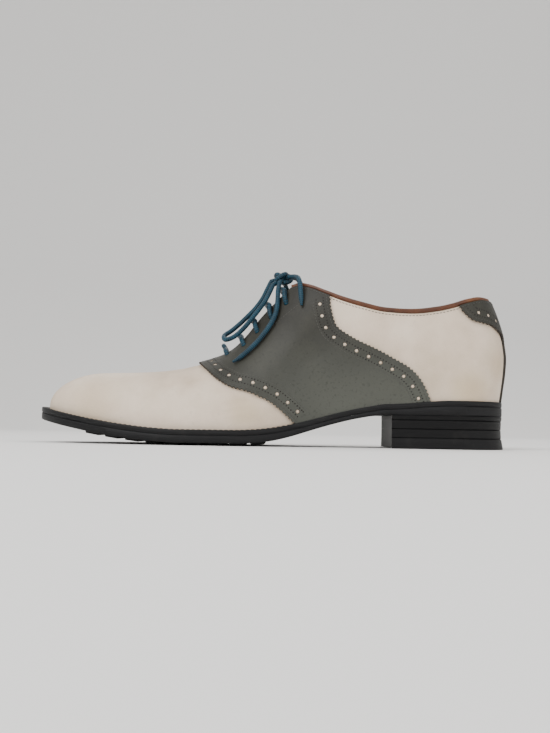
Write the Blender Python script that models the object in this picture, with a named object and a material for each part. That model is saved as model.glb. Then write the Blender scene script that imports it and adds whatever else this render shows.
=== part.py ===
"""A left saddle shoe: grey leather saddle and heel tab on an off-white upper, black welted sole with a built heel.

Toe towards -X, lateral side towards -Y, +Z up. The origin is the middle of the heel's face on the floor.
Along the shoe, s is the distance from the back of the heel, and the tables give it as a share of SHOE_LENGTH.
"""

import functools
import math

import bmesh
import bpy
import numpy as np
from mathutils import Vector

# Driving sizes of the whole shoe, in metres
SHOE_LENGTH = 0.290
BALL_WIDTH = 0.103
INSTEP_HEIGHT = 0.1025
BACK_HEIGHT = 0.0945
COLLAR_DIP = 0.085
TOE_SPRING = 0.013
TOE_OFFSET = 0.003

# Walls and layers
WALL = 0.0021
OVERLAY = 0.0012
OVERLAY_GAP = 0.0008
GAP = 0.0003
WELT = 0.0030
BAND = 0.0088
INSOLE = 0.0030
INSOLE_CLEAR = 0.0007
TONGUE = 0.0018
TONGUE_CLEAR = 0.0012
TONGUE_ARCH = 0.60
BINDING_HEIGHT = 0.0023
BINDING_WIDTH = 0.0036

# The built heel, from the floor up
TOP_LIFT = 0.0061
LIFT = 0.0051
RAND = 0.0026
HEEL_LENGTH = 0.072
BREAST_HOLLOW = 0.0025
HEEL_FLARE = 0.0009
HEEL_STACK = TOP_LIFT + 2 * LIFT + RAND + 3 * GAP

# Tread bars under the forefoot
LUG = 0.0014
LUG_PITCH = 0.0125
LUG_LENGTH = 0.0090
LUG_WALL = 0.0004
TREAD_START = SHOE_LENGTH * 0.51
TREAD_END = SHOE_LENGTH * 0.91
TREAD_SHARE = 0.88
EDGE_ROUND = 0.0008

# The round ends of the outline, and how far the upper stands in from the edge of the sole
HEEL_ROUND = 0.031
TOE_ROUND = 0.056
TOE_BOX_ROUND = 0.034
ROUND_POWER = 2.2
MARGIN_HEEL = 0.0018
MARGIN_WAIST = 0.0030
MARGIN_FORE = 0.0048

# Sections along the upper and rows up its side
HEEL_STATIONS = 16
TOE_STATIONS = 13
SIDE_ROWS = 12
SOLE_STATIONS = 46

# The throat and its lacing
THROAT_FRONT = SHOE_LENGTH * 0.6069
FACING_TOP = SHOE_LENGTH * 0.4586
TONGUE_FRONT = 0.012
TONGUE_BACK = 0.005
LACE = 0.0030
EYELET_ROWS = 5
EYELET_FIRST = 0.004
EYELET_PITCH = 0.0132
EYELET_INSET = 0.009
BAR_ARCH = 0.0030

# The knot of the bow, on top of the highest bar
KNOT_SIZE = (0.012, 0.011, 0.009)
KNOT_CENTRE = (-0.1030, 0.0, 0.1062)

# Outline of the outsole: half widths as shares of BALL_WIDTH, before its two ends are rounded off
OUTLINE = {
    "share": (0.00, 0.13, 0.21, 0.28, 0.36, 0.44, 0.52, 0.60, 0.68, 0.74, 0.80, 0.86, 0.93, 1.00),
    "lateral": (0.315, 0.322, 0.318, 0.318, 0.334, 0.372, 0.428, 0.478, 0.502, 0.492, 0.464, 0.430, 0.400, 0.385),
    "medial": (0.315, 0.320, 0.305, 0.282, 0.260, 0.277, 0.342, 0.422, 0.482, 0.500, 0.492, 0.470, 0.450, 0.440),
}

# Side view of the sole: its underside as shares of the heel's height and of the toe spring, its edge as a share of BAND
SOLE_SIDE = {
    "share": (0.00, 0.12, 0.176, 0.214, 0.262, 0.293, 0.328, 0.362, 0.397, 0.431, 0.466, 0.500, 0.534, 0.570, 0.690,
              0.741, 0.793, 0.862, 0.931, 1.00),
    "rise": (1.0, 1.0, 1.0, 1.0, 1.0, 0.935, 0.832, 0.700, 0.543, 0.375, 0.207, 0.087, 0.022, 0.0, 0.0,
             0.0, 0.0, 0.0, 0.0, 0.0),
    "spring": (0.0, 0.0, 0.0, 0.0, 0.0, 0.0, 0.0, 0.0, 0.0, 0.0, 0.0, 0.0, 0.0, 0.0, 0.0,
               0.055, 0.170, 0.390, 0.670, 1.00),
    "edge": (1.00, 1.00, 0.90, 0.77, 0.68, 0.65, 0.64, 0.65, 0.67, 0.72, 0.80, 0.85, 0.865, 0.85, 0.84,
             0.84, 0.84, 0.84, 0.84, 0.84),
}

# Sections of the last, heel to toe. top is the height of the ridge, the facing's edge or, behind it, of the line that
# the side leans towards, as a share of INSTEP_HEIGHT. half_top is that line's distance from the middle, and belly how
# far the side bulges, as shares of BALL_WIDTH. lift, reach and drop shape the curve between feather and top.
SECTIONS = {
    "share": (0.00, 0.10, 0.207, 0.31, 0.379, 0.421, 0.4586, 0.481, 0.517, 0.555, 0.583, 0.6069, 0.650, 0.687, 0.745,
              0.819, 0.88, 1.00),
    "top": (1.15, 1.17, 1.18, 1.170, 1.125, 1.055, 0.961, 0.895, 0.780, 0.645, 0.570, 0.535, 0.4915, 0.466, 0.443,
            0.431, 0.425, 0.415),
    "half_top": (0.190, 0.205, 0.210, 0.190, 0.150, 0.115, 0.086, 0.087, 0.087, 0.076, 0.050, 0.0, 0.0, 0.0, 0.0,
                 0.0, 0.0, 0.0),
    "belly": (0.020, 0.035, 0.032, 0.032, 0.034, 0.036, 0.038, 0.038, 0.036, 0.032, 0.030, 0.028, 0.026, 0.026, 0.028,
              0.032, 0.034, 0.034),
    "lift": (0.30, 0.30, 0.32, 0.36, 0.38, 0.40, 0.42, 0.43, 0.44, 0.47, 0.49, 0.51, 0.56, 0.58, 0.60,
             0.62, 0.62, 0.62),
    "reach": (0.25, 0.25, 0.22, 0.22, 0.24, 0.29, 0.35, 0.35, 0.35, 0.40, 0.47, 0.54, 0.60, 0.61, 0.63,
              0.66, 0.68, 0.68),
    "drop": (0.40, 0.42, 0.44, 0.42, 0.35, 0.26, 0.18, 0.175, 0.165, 0.115, 0.060, 0.020, 0.0, 0.0, 0.0,
             0.0, 0.0, 0.0),
}

# Height of the collar from the back to the facing's corner: dip is a share of COLLAR_DIP, back and front are shares of
# what the back and the instep stand above that
COLLAR = {
    "share": (0.00, 0.031, 0.072, 0.110, 0.148, 0.20, 0.26, 0.31, 0.35, 0.387, 0.421, 0.443, 0.4586),
    "back": (1.00, 1.00, 0.78, 0.46, 0.22, 0.04, 0.0, 0.0, 0.0, 0.0, 0.0, 0.0, 0.0),
    "front": (0.0, 0.0, 0.0, 0.0, 0.0, 0.0, 0.06, 0.25, 0.45, 0.69, 0.92, 1.00, 0.93),
}

# Side view line of the counter: how far it stands behind the feather, as a share of BACK_HEIGHT, against height
BACK_CURVE = {
    "share": (0.00, 0.12, 0.30, 0.42, 0.55, 0.68, 0.80, 0.92, 1.00),
    "behind": (0.000, 0.011, 0.028, 0.033, 0.023, 0.002, -0.023, -0.055, -0.083),
}

# Front and rear edge of the saddle: distance from the back as a share of SHOE_LENGTH, against the share of the way
# up from the feather to the top edge
SADDLE_EDGES = {
    "share": (0.00, 0.05, 0.10, 0.16, 0.22, 0.30, 0.39, 0.48, 0.57, 0.66, 0.75, 0.85, 0.93, 1.00),
    "front": (0.450, 0.466, 0.482, 0.501, 0.523, 0.553, 0.589, 0.612, 0.627, 0.637, 0.645, 0.6515, 0.655, 0.6565),
    "rear": (0.167, 0.171, 0.175, 0.180, 0.186, 0.196, 0.213, 0.242, 0.278, 0.330, 0.366, 0.374, 0.3775, 0.378),
}

# Half width of the heel tab and the strip below it, as a share of the half turn round the heel, against height
TAB_EDGE = {
    "share": (0.00, 0.60, 0.66, 0.70, 0.74, 0.77, 0.80, 0.84, 0.89, 0.946, 1.00),
    "turn": (0.011, 0.011, 0.022, 0.055, 0.087, 0.106, 0.140, 0.171, 0.183, 0.193, 0.197),
}


def along(table, column, share):
    """The column's value at this share, on a smooth curve that never overshoots the table."""
    x = np.array(table["share"])
    y = np.array(table[column])
    slope = np.diff(y) / np.diff(x)
    inner = np.where(slope[:-1] * slope[1:] > 0, 2 * slope[:-1] * slope[1:] / (slope[:-1] + slope[1:] + 1e-12), 0.0)
    bend = np.concatenate([[slope[0]], inner, [slope[-1]]])
    share = min(max(share, x[0]), x[-1])
    k = min(int(np.searchsorted(x, share, side="right")) - 1, len(x) - 2)
    width = x[k + 1] - x[k]
    t = (share - x[k]) / width
    return float(
        y[k] * (1 + 2 * t) * (1 - t) ** 2
        + y[k + 1] * t * t * (3 - 2 * t)
        + width * (bend[k] * t * (1 - t) ** 2 - bend[k + 1] * t * t * (1 - t))
    )


def rounded(distance, length):
    """0 at an end of the outline, rising to 1 at this length from it."""
    left = 1 - min(max(distance / length, 0.0), 1.0)
    return (1 - left**ROUND_POWER) ** (1 / ROUND_POWER)


def eased(t):
    t = min(max(t, 0.0), 1.0)
    return t * t * (3 - 2 * t)


def x_at(s):
    return HEEL_LENGTH / 2 - s


def middle(s):
    """The toe swings a little to the medial side."""
    return TOE_OFFSET * eased((s / SHOE_LENGTH - 0.6) / 0.4)


def half_width(s, side, inset, heel_inset, toe_inset):
    """Distance from the middle to the outline, with the outline drawn in by these amounts."""
    column = "lateral" if side < 0 else "medial"
    wide = along(OUTLINE, column, s / SHOE_LENGTH) * BALL_WIDTH - inset
    return wide * rounded(s - heel_inset, HEEL_ROUND) * rounded(SHOE_LENGTH - toe_inset - s, TOE_ROUND)


def underside(s):
    share = s / SHOE_LENGTH
    rise = along(SOLE_SIDE, "rise", share)
    spring = along(SOLE_SIDE, "spring", share)
    return LUG + (HEEL_STACK + GAP - LUG) * rise + TOE_SPRING * spring


def feather(s):
    """Top of the welt, where the upper meets the sole."""
    return underside(s) + BAND * along(SOLE_SIDE, "edge", s / SHOE_LENGTH)


def margin(s):
    share = s / SHOE_LENGTH
    waist = MARGIN_HEEL + (MARGIN_WAIST - MARGIN_HEEL) * eased((share - 0.05) / 0.25)
    return waist + (MARGIN_FORE - MARGIN_WAIST) * eased((share - 0.42) / 0.22)


def collar_height(s):
    share = s / SHOE_LENGTH
    back = (BACK_HEIGHT - COLLAR_DIP) * along(COLLAR, "back", share)
    front = (INSTEP_HEIGHT - COLLAR_DIP) * along(COLLAR, "front", share)
    return COLLAR_DIP - BINDING_HEIGHT - OVERLAY_GAP + back + front


def s_of(turn):
    """Distance along the upper for turn 0 at its back to 1 at its toe, close together at both ends."""
    return MARGIN_HEEL + (SHOE_LENGTH - MARGIN_HEEL - MARGIN_FORE) * (1 - math.cos(math.pi * turn)) / 2


def turn_of(s):
    span = SHOE_LENGTH - MARGIN_HEEL - MARGIN_FORE
    return math.acos(min(max(1 - 2 * (s - MARGIN_HEEL) / span, -1.0), 1.0)) / math.pi


@functools.lru_cache(maxsize=None)
def section(turn, side):
    """One side of the last at this turn: where it stands, and the four points that its curve is drawn from."""
    s = s_of(turn)
    share = s / SHOE_LENGTH
    ends = rounded(s - MARGIN_HEEL, HEEL_ROUND) * rounded(SHOE_LENGTH - MARGIN_FORE - s, TOE_ROUND)
    foot = feather(s) + GAP
    tall = along(SECTIONS, "top", share) * INSTEP_HEIGHT - foot
    tall = tall * rounded(SHOE_LENGTH - MARGIN_FORE - s, TOE_BOX_ROUND)
    wide = half_width(s, side, margin(s), MARGIN_HEEL, MARGIN_FORE)
    top = along(SECTIONS, "half_top", share) * BALL_WIDTH * ends
    belly = along(SECTIONS, "belly", share) * BALL_WIDTH * ends
    y = (wide, wide + belly, top + along(SECTIONS, "reach", share) * (wide - top), top)
    z = (0.0, along(SECTIONS, "lift", share) * tall, (1 - along(SECTIONS, "drop", share)) * tall, tall)
    return s, foot, middle(s), y, z


def last(turn, v, side):
    """The upper's outer face: v 0 at the feather, 1 at the ridge or facing. side -1 is lateral, 1 is medial."""
    s, foot, centre, y, z = section(turn, side)
    weights = ((1 - v) ** 3, 3 * v * (1 - v) ** 2, 3 * v * v * (1 - v), v**3)
    out = sum(w * value for w, value in zip(weights, y))
    up = sum(w * value for w, value in zip(weights, z))
    fade = 1 - eased((s - MARGIN_HEEL) / (2 * HEEL_ROUND))
    back = fade * BACK_HEIGHT * along(BACK_CURVE, "behind", up / (BACK_HEIGHT - foot)) if fade else 0.0
    return Vector((x_at(s) + back, centre + side * out, foot + up))


def outward(turn, v, side):
    """Unit normal of the last, away from the foot."""
    step = 1e-3
    if turn > 1 - 2 * step:
        return Vector((-1.0, 0.0, 0.0))
    near, far = max(turn - step, 0.0), turn + step
    low, high = max(v - step, 0.0), min(v + step, 1.0)
    lengthways = last(far, v, side) - last(near, v, side)
    upwards = last(turn, high, side) - last(turn, low, side)
    normal = lengthways.cross(upwards) * side
    if turn < step:
        normal.y = 0.0
    return normal.normalized()


@functools.lru_cache(maxsize=None)
def top_share(turn, side):
    """How far up its section the wall reaches: to the collar behind the facing's corner, else to the top."""
    s = s_of(turn)
    if s >= FACING_TOP - 1e-9:
        return 1.0
    wanted, low, high = collar_height(s), 0.0, 1.0
    for _ in range(40):
        half = (low + high) / 2
        if last(turn, half, side).z < wanted:
            low = half
        else:
            high = half
    return (low + high) / 2


def on_upper(turn, f, side, lift):
    """A point this far off the upper's outer face; f runs from 0 at the feather to 1 at the wall's top edge."""
    v = f * top_share(turn, side)
    normal = outward(turn, v, side)
    if f < 1e-9:
        normal = Vector((normal.x, normal.y, 0.0)).normalized()
    if v > 1 - 1e-9 and s_of(turn) > THROAT_FRONT - 1e-9:
        normal = (normal + outward(turn, v, -side)).normalized()
    return last(turn, v, side) + normal * lift


def finish(name, bm, colour, roughness, metallic=0.0):
    """Makes the mesh an object with its own material."""
    bmesh.ops.remove_doubles(bm, verts=bm.verts, dist=2e-6)
    bmesh.ops.dissolve_degenerate(bm, dist=1e-6, edges=bm.edges)
    bmesh.ops.recalc_face_normals(bm, faces=bm.faces)
    mesh = bpy.data.meshes.new(name)
    bm.to_mesh(mesh)
    bm.free()
    mesh.shade_smooth()
    mesh.set_sharp_from_angle(angle=math.radians(40))
    thing = bpy.data.objects.new(name, mesh)
    bpy.context.collection.objects.link(thing)
    dress(thing, colour, roughness, metallic)
    return thing


def dress(thing, colour, roughness, metallic=0.0):
    material = bpy.data.materials.new(thing.name)
    material.use_nodes = True
    shader = material.node_tree.nodes["Principled BSDF"]
    shader.inputs["Base Color"].default_value = (*colour, 1.0)
    shader.inputs["Roughness"].default_value = roughness
    shader.inputs["Metallic"].default_value = metallic
    thing.data.materials.append(material)


def slab(outer, inner):
    """A closed wall between two grids of points of the same size."""
    bm = bmesh.new()
    rows, columns = len(outer), len(outer[0])
    grids = [[[bm.verts.new(p) for p in row] for row in grid] for grid in (outer, inner)]
    for grid in grids:
        for i in range(rows - 1):
            for k in range(columns - 1):
                bm.faces.new((grid[i][k], grid[i + 1][k], grid[i + 1][k + 1], grid[i][k + 1]))
    rim = [(i, 0) for i in range(rows)]
    rim += [(rows - 1, k) for k in range(1, columns)]
    rim += [(i, columns - 1) for i in range(rows - 2, -1, -1)]
    rim += [(0, k) for k in range(columns - 2, 0, -1)]
    for (i, k), (m, n) in zip(rim, rim[1:] + rim[:1]):
        bm.faces.new((grids[0][i][k], grids[0][m][n], grids[1][m][n], grids[1][i][k]))
    return bm


def loft(rings, cap_start=False, cap_end=False):
    """Joins closed rings of points, in order, into one surface."""
    bm = bmesh.new()
    loops = [[bm.verts.new(p) for p in ring] for ring in rings]
    count = len(rings[0])
    for a, b in zip(loops, loops[1:]):
        for k in range(count):
            bm.faces.new((a[k], a[(k + 1) % count], b[(k + 1) % count], b[k]))
    if cap_start:
        bm.faces.new(loops[0])
    if cap_end:
        bm.faces.new(list(reversed(loops[-1])))
    return bm


def steps(start, end, count):
    """Even steps from start up to, but not at, end."""
    return [start + (end - start) * i / count for i in range(count)]


def stations():
    """Distances along the upper for its sections. Saddle and binding share them, so that their edges run together."""
    rear = SADDLE_EDGES["rear"][-1] * SHOE_LENGTH
    front = SADDLE_EDGES["front"][-1] * SHOE_LENGTH
    heel = [s_of(turn) for turn in steps(0.0, turn_of(rear), HEEL_STATIONS)]
    facing = steps(rear, FACING_TOP, 6) + steps(FACING_TOP, THROAT_FRONT, 9) + steps(THROAT_FRONT, front, 3)
    toe = [s_of(turn) for turn in steps(turn_of(front), 1.0, TOE_STATIONS)]
    return heel + facing + toe + [SHOE_LENGTH - MARGIN_FORE]


def make_upper():
    """One hollow shell: a wall round the heel, open at collar, throat and underneath, closed over vamp and toe."""
    rows = SIDE_ROWS
    bm = bmesh.new()
    turns = [turn_of(s) for s in stations()]
    for side in (-1, 1):
        outer, inner = [], []
        for turn in turns:
            outer.append([bm.verts.new(on_upper(turn, k / rows, side, 0.0)) for k in range(rows + 1)])
            inner.append([bm.verts.new(on_upper(turn, k / rows, side, -WALL)) for k in range(rows + 1)])
        for i in range(len(turns) - 1):
            for k in range(rows):
                bm.faces.new((outer[i][k], outer[i + 1][k], outer[i + 1][k + 1], outer[i][k + 1]))
                bm.faces.new((inner[i][k], inner[i][k + 1], inner[i + 1][k + 1], inner[i + 1][k]))
            bm.faces.new((outer[i][0], inner[i][0], inner[i + 1][0], outer[i + 1][0]))
            if s_of(turns[i]) < THROAT_FRONT - 1e-6:
                bm.faces.new((outer[i][rows], outer[i + 1][rows], inner[i + 1][rows], inner[i][rows]))
    return finish("upper", bm, (0.60, 0.52, 0.46), 0.55)


def make_saddle():
    """The grey piece over instep and sides: two wings joined by a bar in front of the throat."""
    rows = SIDE_ROWS
    first = SADDLE_EDGES["rear"][-1] * SHOE_LENGTH
    final = SADDLE_EDGES["front"][-1] * SHOE_LENGTH
    tops = [s for s in stations() if first - 1e-9 <= s <= final + 1e-9]
    columns = [(s - first) / (final - first) for s in tops]
    bm = bmesh.new()
    for side in (-1, 1):
        outer, inner = [], []
        for c in columns:
            for grid, lift in ((outer, OVERLAY_GAP + OVERLAY), (inner, OVERLAY_GAP)):
                line = []
                for k in range(rows + 1):
                    f = k / rows
                    rear = along(SADDLE_EDGES, "rear", f)
                    front = along(SADDLE_EDGES, "front", f)
                    s = (rear + (front - rear) * c) * SHOE_LENGTH
                    line.append(bm.verts.new(on_upper(turn_of(s), f, side, lift)))
                grid.append(line)
        for i in range(len(columns) - 1):
            for k in range(rows):
                bm.faces.new((outer[i][k], outer[i + 1][k], outer[i + 1][k + 1], outer[i][k + 1]))
                bm.faces.new((inner[i][k], inner[i][k + 1], inner[i + 1][k + 1], inner[i + 1][k]))
            bm.faces.new((outer[i][0], inner[i][0], inner[i + 1][0], outer[i + 1][0]))
            if tops[i] < THROAT_FRONT - 1e-6:
                bm.faces.new((outer[i][rows], outer[i + 1][rows], inner[i + 1][rows], inner[i][rows]))
        for i, flip in ((0, 1), (len(columns) - 1, -1)):
            for k in range(rows):
                face = (outer[i][k], outer[i][k + 1], inner[i][k + 1], inner[i][k])
                bm.faces.new(face[::flip])
    return finish("saddle", bm, (0.105, 0.105, 0.092), 0.5)


def make_heel_tab():
    """The grey tab at the top of the back, with the narrow strip that covers the back seam."""
    outer, inner = [], []
    shares = [0.0, 0.13, 0.26, 0.39, 0.52, 0.60, 0.64, 0.68, 0.72, 0.75, 0.78, 0.81, 0.84, 0.88, 0.92, 0.96, 1.0]
    for f in shares:
        turn = along(TAB_EDGE, "turn", f)
        across = [i / 9 for i in range(-9, 10)]
        for grid, lift in ((outer, OVERLAY_GAP + OVERLAY), (inner, OVERLAY_GAP)):
            grid.append([on_upper(turn * abs(c), f, -1 if c < 0 else 1, lift) for c in across])
    return finish("heel_tab", slab(outer, inner), (0.125, 0.122, 0.110), 0.5)


def make_binding():
    """The tan roll along the top of the collar, from one facing round the back to the other."""
    turns = [turn_of(s) for s in stations() if s <= FACING_TOP + 1e-9]
    places = [(t, -1) for t in reversed(turns)] + [(t, 1) for t in turns[1:]]
    rings = []
    for turn, side in places:
        v = top_share(turn, side)
        normal = outward(turn, v, side)
        edge = last(turn, v, side)
        low = last(turn, v - 0.02, side)
        rise = (edge - low).normalized()
        centre = edge - normal * (WALL / 2 - OVERLAY / 2) + rise * (OVERLAY_GAP + BINDING_HEIGHT / 2)
        ring = []
        for i in range(8):
            angle = 2 * math.pi * (i + 0.5) / 8
            wide = BINDING_WIDTH / 2 / math.cos(math.pi / 8) * math.cos(angle)
            tall = BINDING_HEIGHT / 2 / math.cos(math.pi / 8) * math.sin(angle)
            ring.append(centre + normal * wide + rise * tall)
        rings.append(ring)
    return finish("collar_binding", loft(rings, True, True), (0.22, 0.09, 0.045), 0.5)


def plate_rings(places, inset, heel_inset, toe_inset, top, bottom, across, edge_round=0.0):
    """Rings across a plate of the sole: along its upper face one way and its lower face the other."""
    rings = []
    for place in places:
        s, lug = place
        upper_row, lower_row = [], []
        for u in across:
            side = -1 if u < 0 else 1
            wide = half_width(s, side, inset(s), heel_inset, toe_inset)
            y = middle(s) + u * wide
            down = lug if abs(u) < TREAD_SHARE else 0.0
            rounding = edge_round if abs(u) > 1 - 1e-9 else 0.0
            upper_row.append(Vector((x_at(s), y, top(s))))
            lower_row.append(Vector((x_at(s), y, bottom(s) - down + rounding)))
        rings.append(upper_row + lower_row[::-1])
    return rings


def even_places(start, end, count):
    return [(start + (end - start) * (1 - math.cos(math.pi * i / count)) / 2, 0.0) for i in range(count + 1)]


def make_welt():
    places = even_places(0.0, SHOE_LENGTH, SOLE_STATIONS)
    rings = plate_rings(places, lambda s: 0.0, 0.0, 0.0, feather, lambda s: feather(s) - WELT, (-1, 1))
    return finish("welt", loft(rings), (0.018, 0.017, 0.017), 0.55)


def tread_places():
    """Stations of the outsole: even ones, and four for each tread bar."""
    bars = []
    start = TREAD_START
    while start + LUG_LENGTH <= TREAD_END:
        bars.append(start)
        start += LUG_PITCH
    end = bars[-1] + LUG_LENGTH
    places = [p for p in even_places(0.0, SHOE_LENGTH, SOLE_STATIONS) if not bars[0] - 0.002 < p[0] < end + 0.002]
    for first in bars:
        final = first + LUG_LENGTH
        places += [(first, 0.0), (first + LUG_WALL, LUG), (final - LUG_WALL, LUG), (final, 0.0)]
    return sorted(places)


def make_outsole():
    share = TREAD_SHARE
    across = (-1, -share - 0.008, -share + 0.001, share - 0.001, share + 0.008, 1)
    rings = plate_rings(
        tread_places(), lambda s: 0.0, 0.0, 0.0, lambda s: feather(s) - WELT - GAP, underside, across, EDGE_ROUND
    )
    return finish("outsole", loft(rings), (0.022, 0.021, 0.021), 0.6)


def make_insole():
    clear = WALL + INSOLE_CLEAR
    heel_inset = MARGIN_HEEL + clear
    toe_inset = MARGIN_FORE + clear
    start, end = heel_inset, SHOE_LENGTH - toe_inset
    between = [p for p in even_places(0.0, SHOE_LENGTH, SOLE_STATIONS) if start + GAP < p[0] < end - GAP]
    places = [(start, 0.0)] + between + [(end, 0.0)]
    rings = plate_rings(
        places,
        lambda s: margin(s) + clear,
        heel_inset,
        toe_inset,
        lambda s: feather(s) + GAP + INSOLE,
        lambda s: feather(s) + GAP,
        (-1, 1),
    )
    return finish("insole", loft(rings), (0.20, 0.11, 0.06), 0.7)


def heel_outline(grow):
    """The heel seen from below: round at the back, a shallow hollow across the breast."""
    lateral, medial = [], []
    for i in range(13):
        s = (HEEL_LENGTH + grow) * (1 - math.cos(math.pi / 2 * i / 12)) - grow
        lateral.append((x_at(s), middle(s) - half_width(s, -1, -grow, -grow, 0.0)))
        medial.append((x_at(s), middle(s) + half_width(s, 1, -grow, -grow, 0.0)))
    breast = []
    for i in range(1, 6):
        t = i / 6
        y = lateral[-1][1] + (medial[-1][1] - lateral[-1][1]) * t
        breast.append((x_at(HEEL_LENGTH - BREAST_HOLLOW * 4 * t * (1 - t)), y))
    return lateral + breast + medial[:0:-1]


def make_heel():
    """Rand, two lifts and the top lift, each a plate; the side is a little hollow and flares at the floor."""
    layers = (
        ("top_lift", 0.0, TOP_LIFT, 1.0, -0.33),
        ("heel_lift_1", TOP_LIFT + GAP, LIFT, -0.44, -0.66),
        ("heel_lift_2", TOP_LIFT + LIFT + 2 * GAP, LIFT, -0.66, -0.44),
        ("heel_rand", TOP_LIFT + 2 * LIFT + 3 * GAP, RAND, -0.33, 0.0),
    )
    for name, low, tall, flare_low, flare_high in layers:
        rings = []
        for part in (0.0, 0.5, 1.0):
            grow = HEEL_FLARE * (flare_low + (flare_high - flare_low) * part)
            rings.append([Vector((x, y, low + tall * part)) for x, y in heel_outline(grow)])
        finish(name, loft(rings, True, True), (0.016, 0.015, 0.015), 0.5)


def tongue_row(s, lift):
    """One section of the tongue, under both facings and arched a little between them."""
    turn = turn_of(s)
    sides = []
    for side in (-1, 1):
        sides.append([last(turn, v, side) + outward(turn, v, side) * lift for v in (0.72, 0.80, 0.88, 0.95)])
    edges = [last(turn, 1.0, side) for side in (-1, 1)]
    half = abs(edges[1].y - edges[0].y) / 2
    normal = (outward(turn, 1.0, -1) + outward(turn, 1.0, 1)).normalized()
    arch = TONGUE_ARCH * half * eased((s - FACING_TOP) / 0.02)
    crown = (edges[0] + edges[1]) / 2 + normal * (lift + arch)
    return sides[0] + [crown] + sides[1][::-1]


def make_tongue():
    start, end = THROAT_FRONT + TONGUE_FRONT, FACING_TOP - TONGUE_BACK
    places = [start + (end - start) * i / 14 for i in range(15)]
    under = -WALL - TONGUE_CLEAR
    outer = [tongue_row(s, under) for s in places]
    inner = [tongue_row(s, under - TONGUE) for s in places]
    return finish("tongue", slab(outer, inner), (0.33, 0.15, 0.07), 0.6)


def face_of_saddle(s, v, side, lift):
    """A point this far off the saddle's outer face."""
    turn = turn_of(s)
    return last(turn, v, side) + outward(turn, v, side) * (OVERLAY_GAP + OVERLAY + lift)


def lace_rows():
    """Distances along the shoe of the eyelet rows, evenly spaced along the facing's edge."""
    wanted = [EYELET_FIRST + EYELET_PITCH * row for row in range(EYELET_ROWS)]
    rows, walked, s, step = [], 0.0, THROAT_FRONT, 0.00025
    here = face_of_saddle(s, 1.0, -1, 0.0)
    while wanted and s > FACING_TOP:
        s -= step
        there = face_of_saddle(s, 1.0, -1, 0.0)
        walked += math.hypot(there.x - here.x, there.z - here.z)
        here = there
        if walked >= wanted[0]:
            rows.append(s)
            wanted.pop(0)
    return rows


def eyelet_height(s, side):
    """How far up the section the eyelet lies, EYELET_INSET in from the facing's edge."""
    edge = face_of_saddle(s, 1.0, side, 0.0)
    v = 1.0
    while (face_of_saddle(s, v, side, 0.0) - edge).length < EYELET_INSET:
        v -= 0.002
    return v


def tube(name, points, thick, colour):
    """A cord along these points, as a curve with a round section and closed ends."""
    curve = bpy.data.curves.new(name, "CURVE")
    curve.dimensions = "3D"
    curve.bevel_depth = thick / 2
    curve.bevel_resolution = 2
    curve.use_fill_caps = True
    spline = curve.splines.new("POLY")
    spline.points.add(len(points) - 1)
    for point, place in zip(spline.points, points):
        point.co = (*place, 1.0)
    thing = bpy.data.objects.new(name, curve)
    bpy.context.collection.objects.link(thing)
    dress(thing, colour, 0.6)
    return thing


def smooth_route(points, count):
    """Points along a smooth curve through the route's own points."""
    route = [Vector(p) for p in points]
    ends = [route[0] * 2 - route[1]] + route + [route[-1] * 2 - route[-2]]
    fine = []
    for a, b, c, d in zip(ends, ends[1:], ends[2:], ends[3:]):
        for i in range(12):
            t = i / 12
            fine.append(
                (2 * b + (c - a) * t + (2 * a - 5 * b + 4 * c - d) * t * t + (3 * b - a - 3 * c + d) * t**3) / 2
            )
    fine.append(route[-1])
    lengths = [0.0]
    for a, b in zip(fine, fine[1:]):
        lengths.append(lengths[-1] + (b - a).length)
    places = []
    for i in range(count):
        wanted = lengths[-1] * i / (count - 1)
        k = max(1, min(int(np.searchsorted(lengths, wanted)), len(fine) - 1))
        t = (wanted - lengths[k - 1]) / (lengths[k] - lengths[k - 1])
        places.append(fine[k - 1].lerp(fine[k], min(max(t, 0.0), 1.0)))
    return places


LACE_COLOUR = (0.016, 0.078, 0.140)

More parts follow.
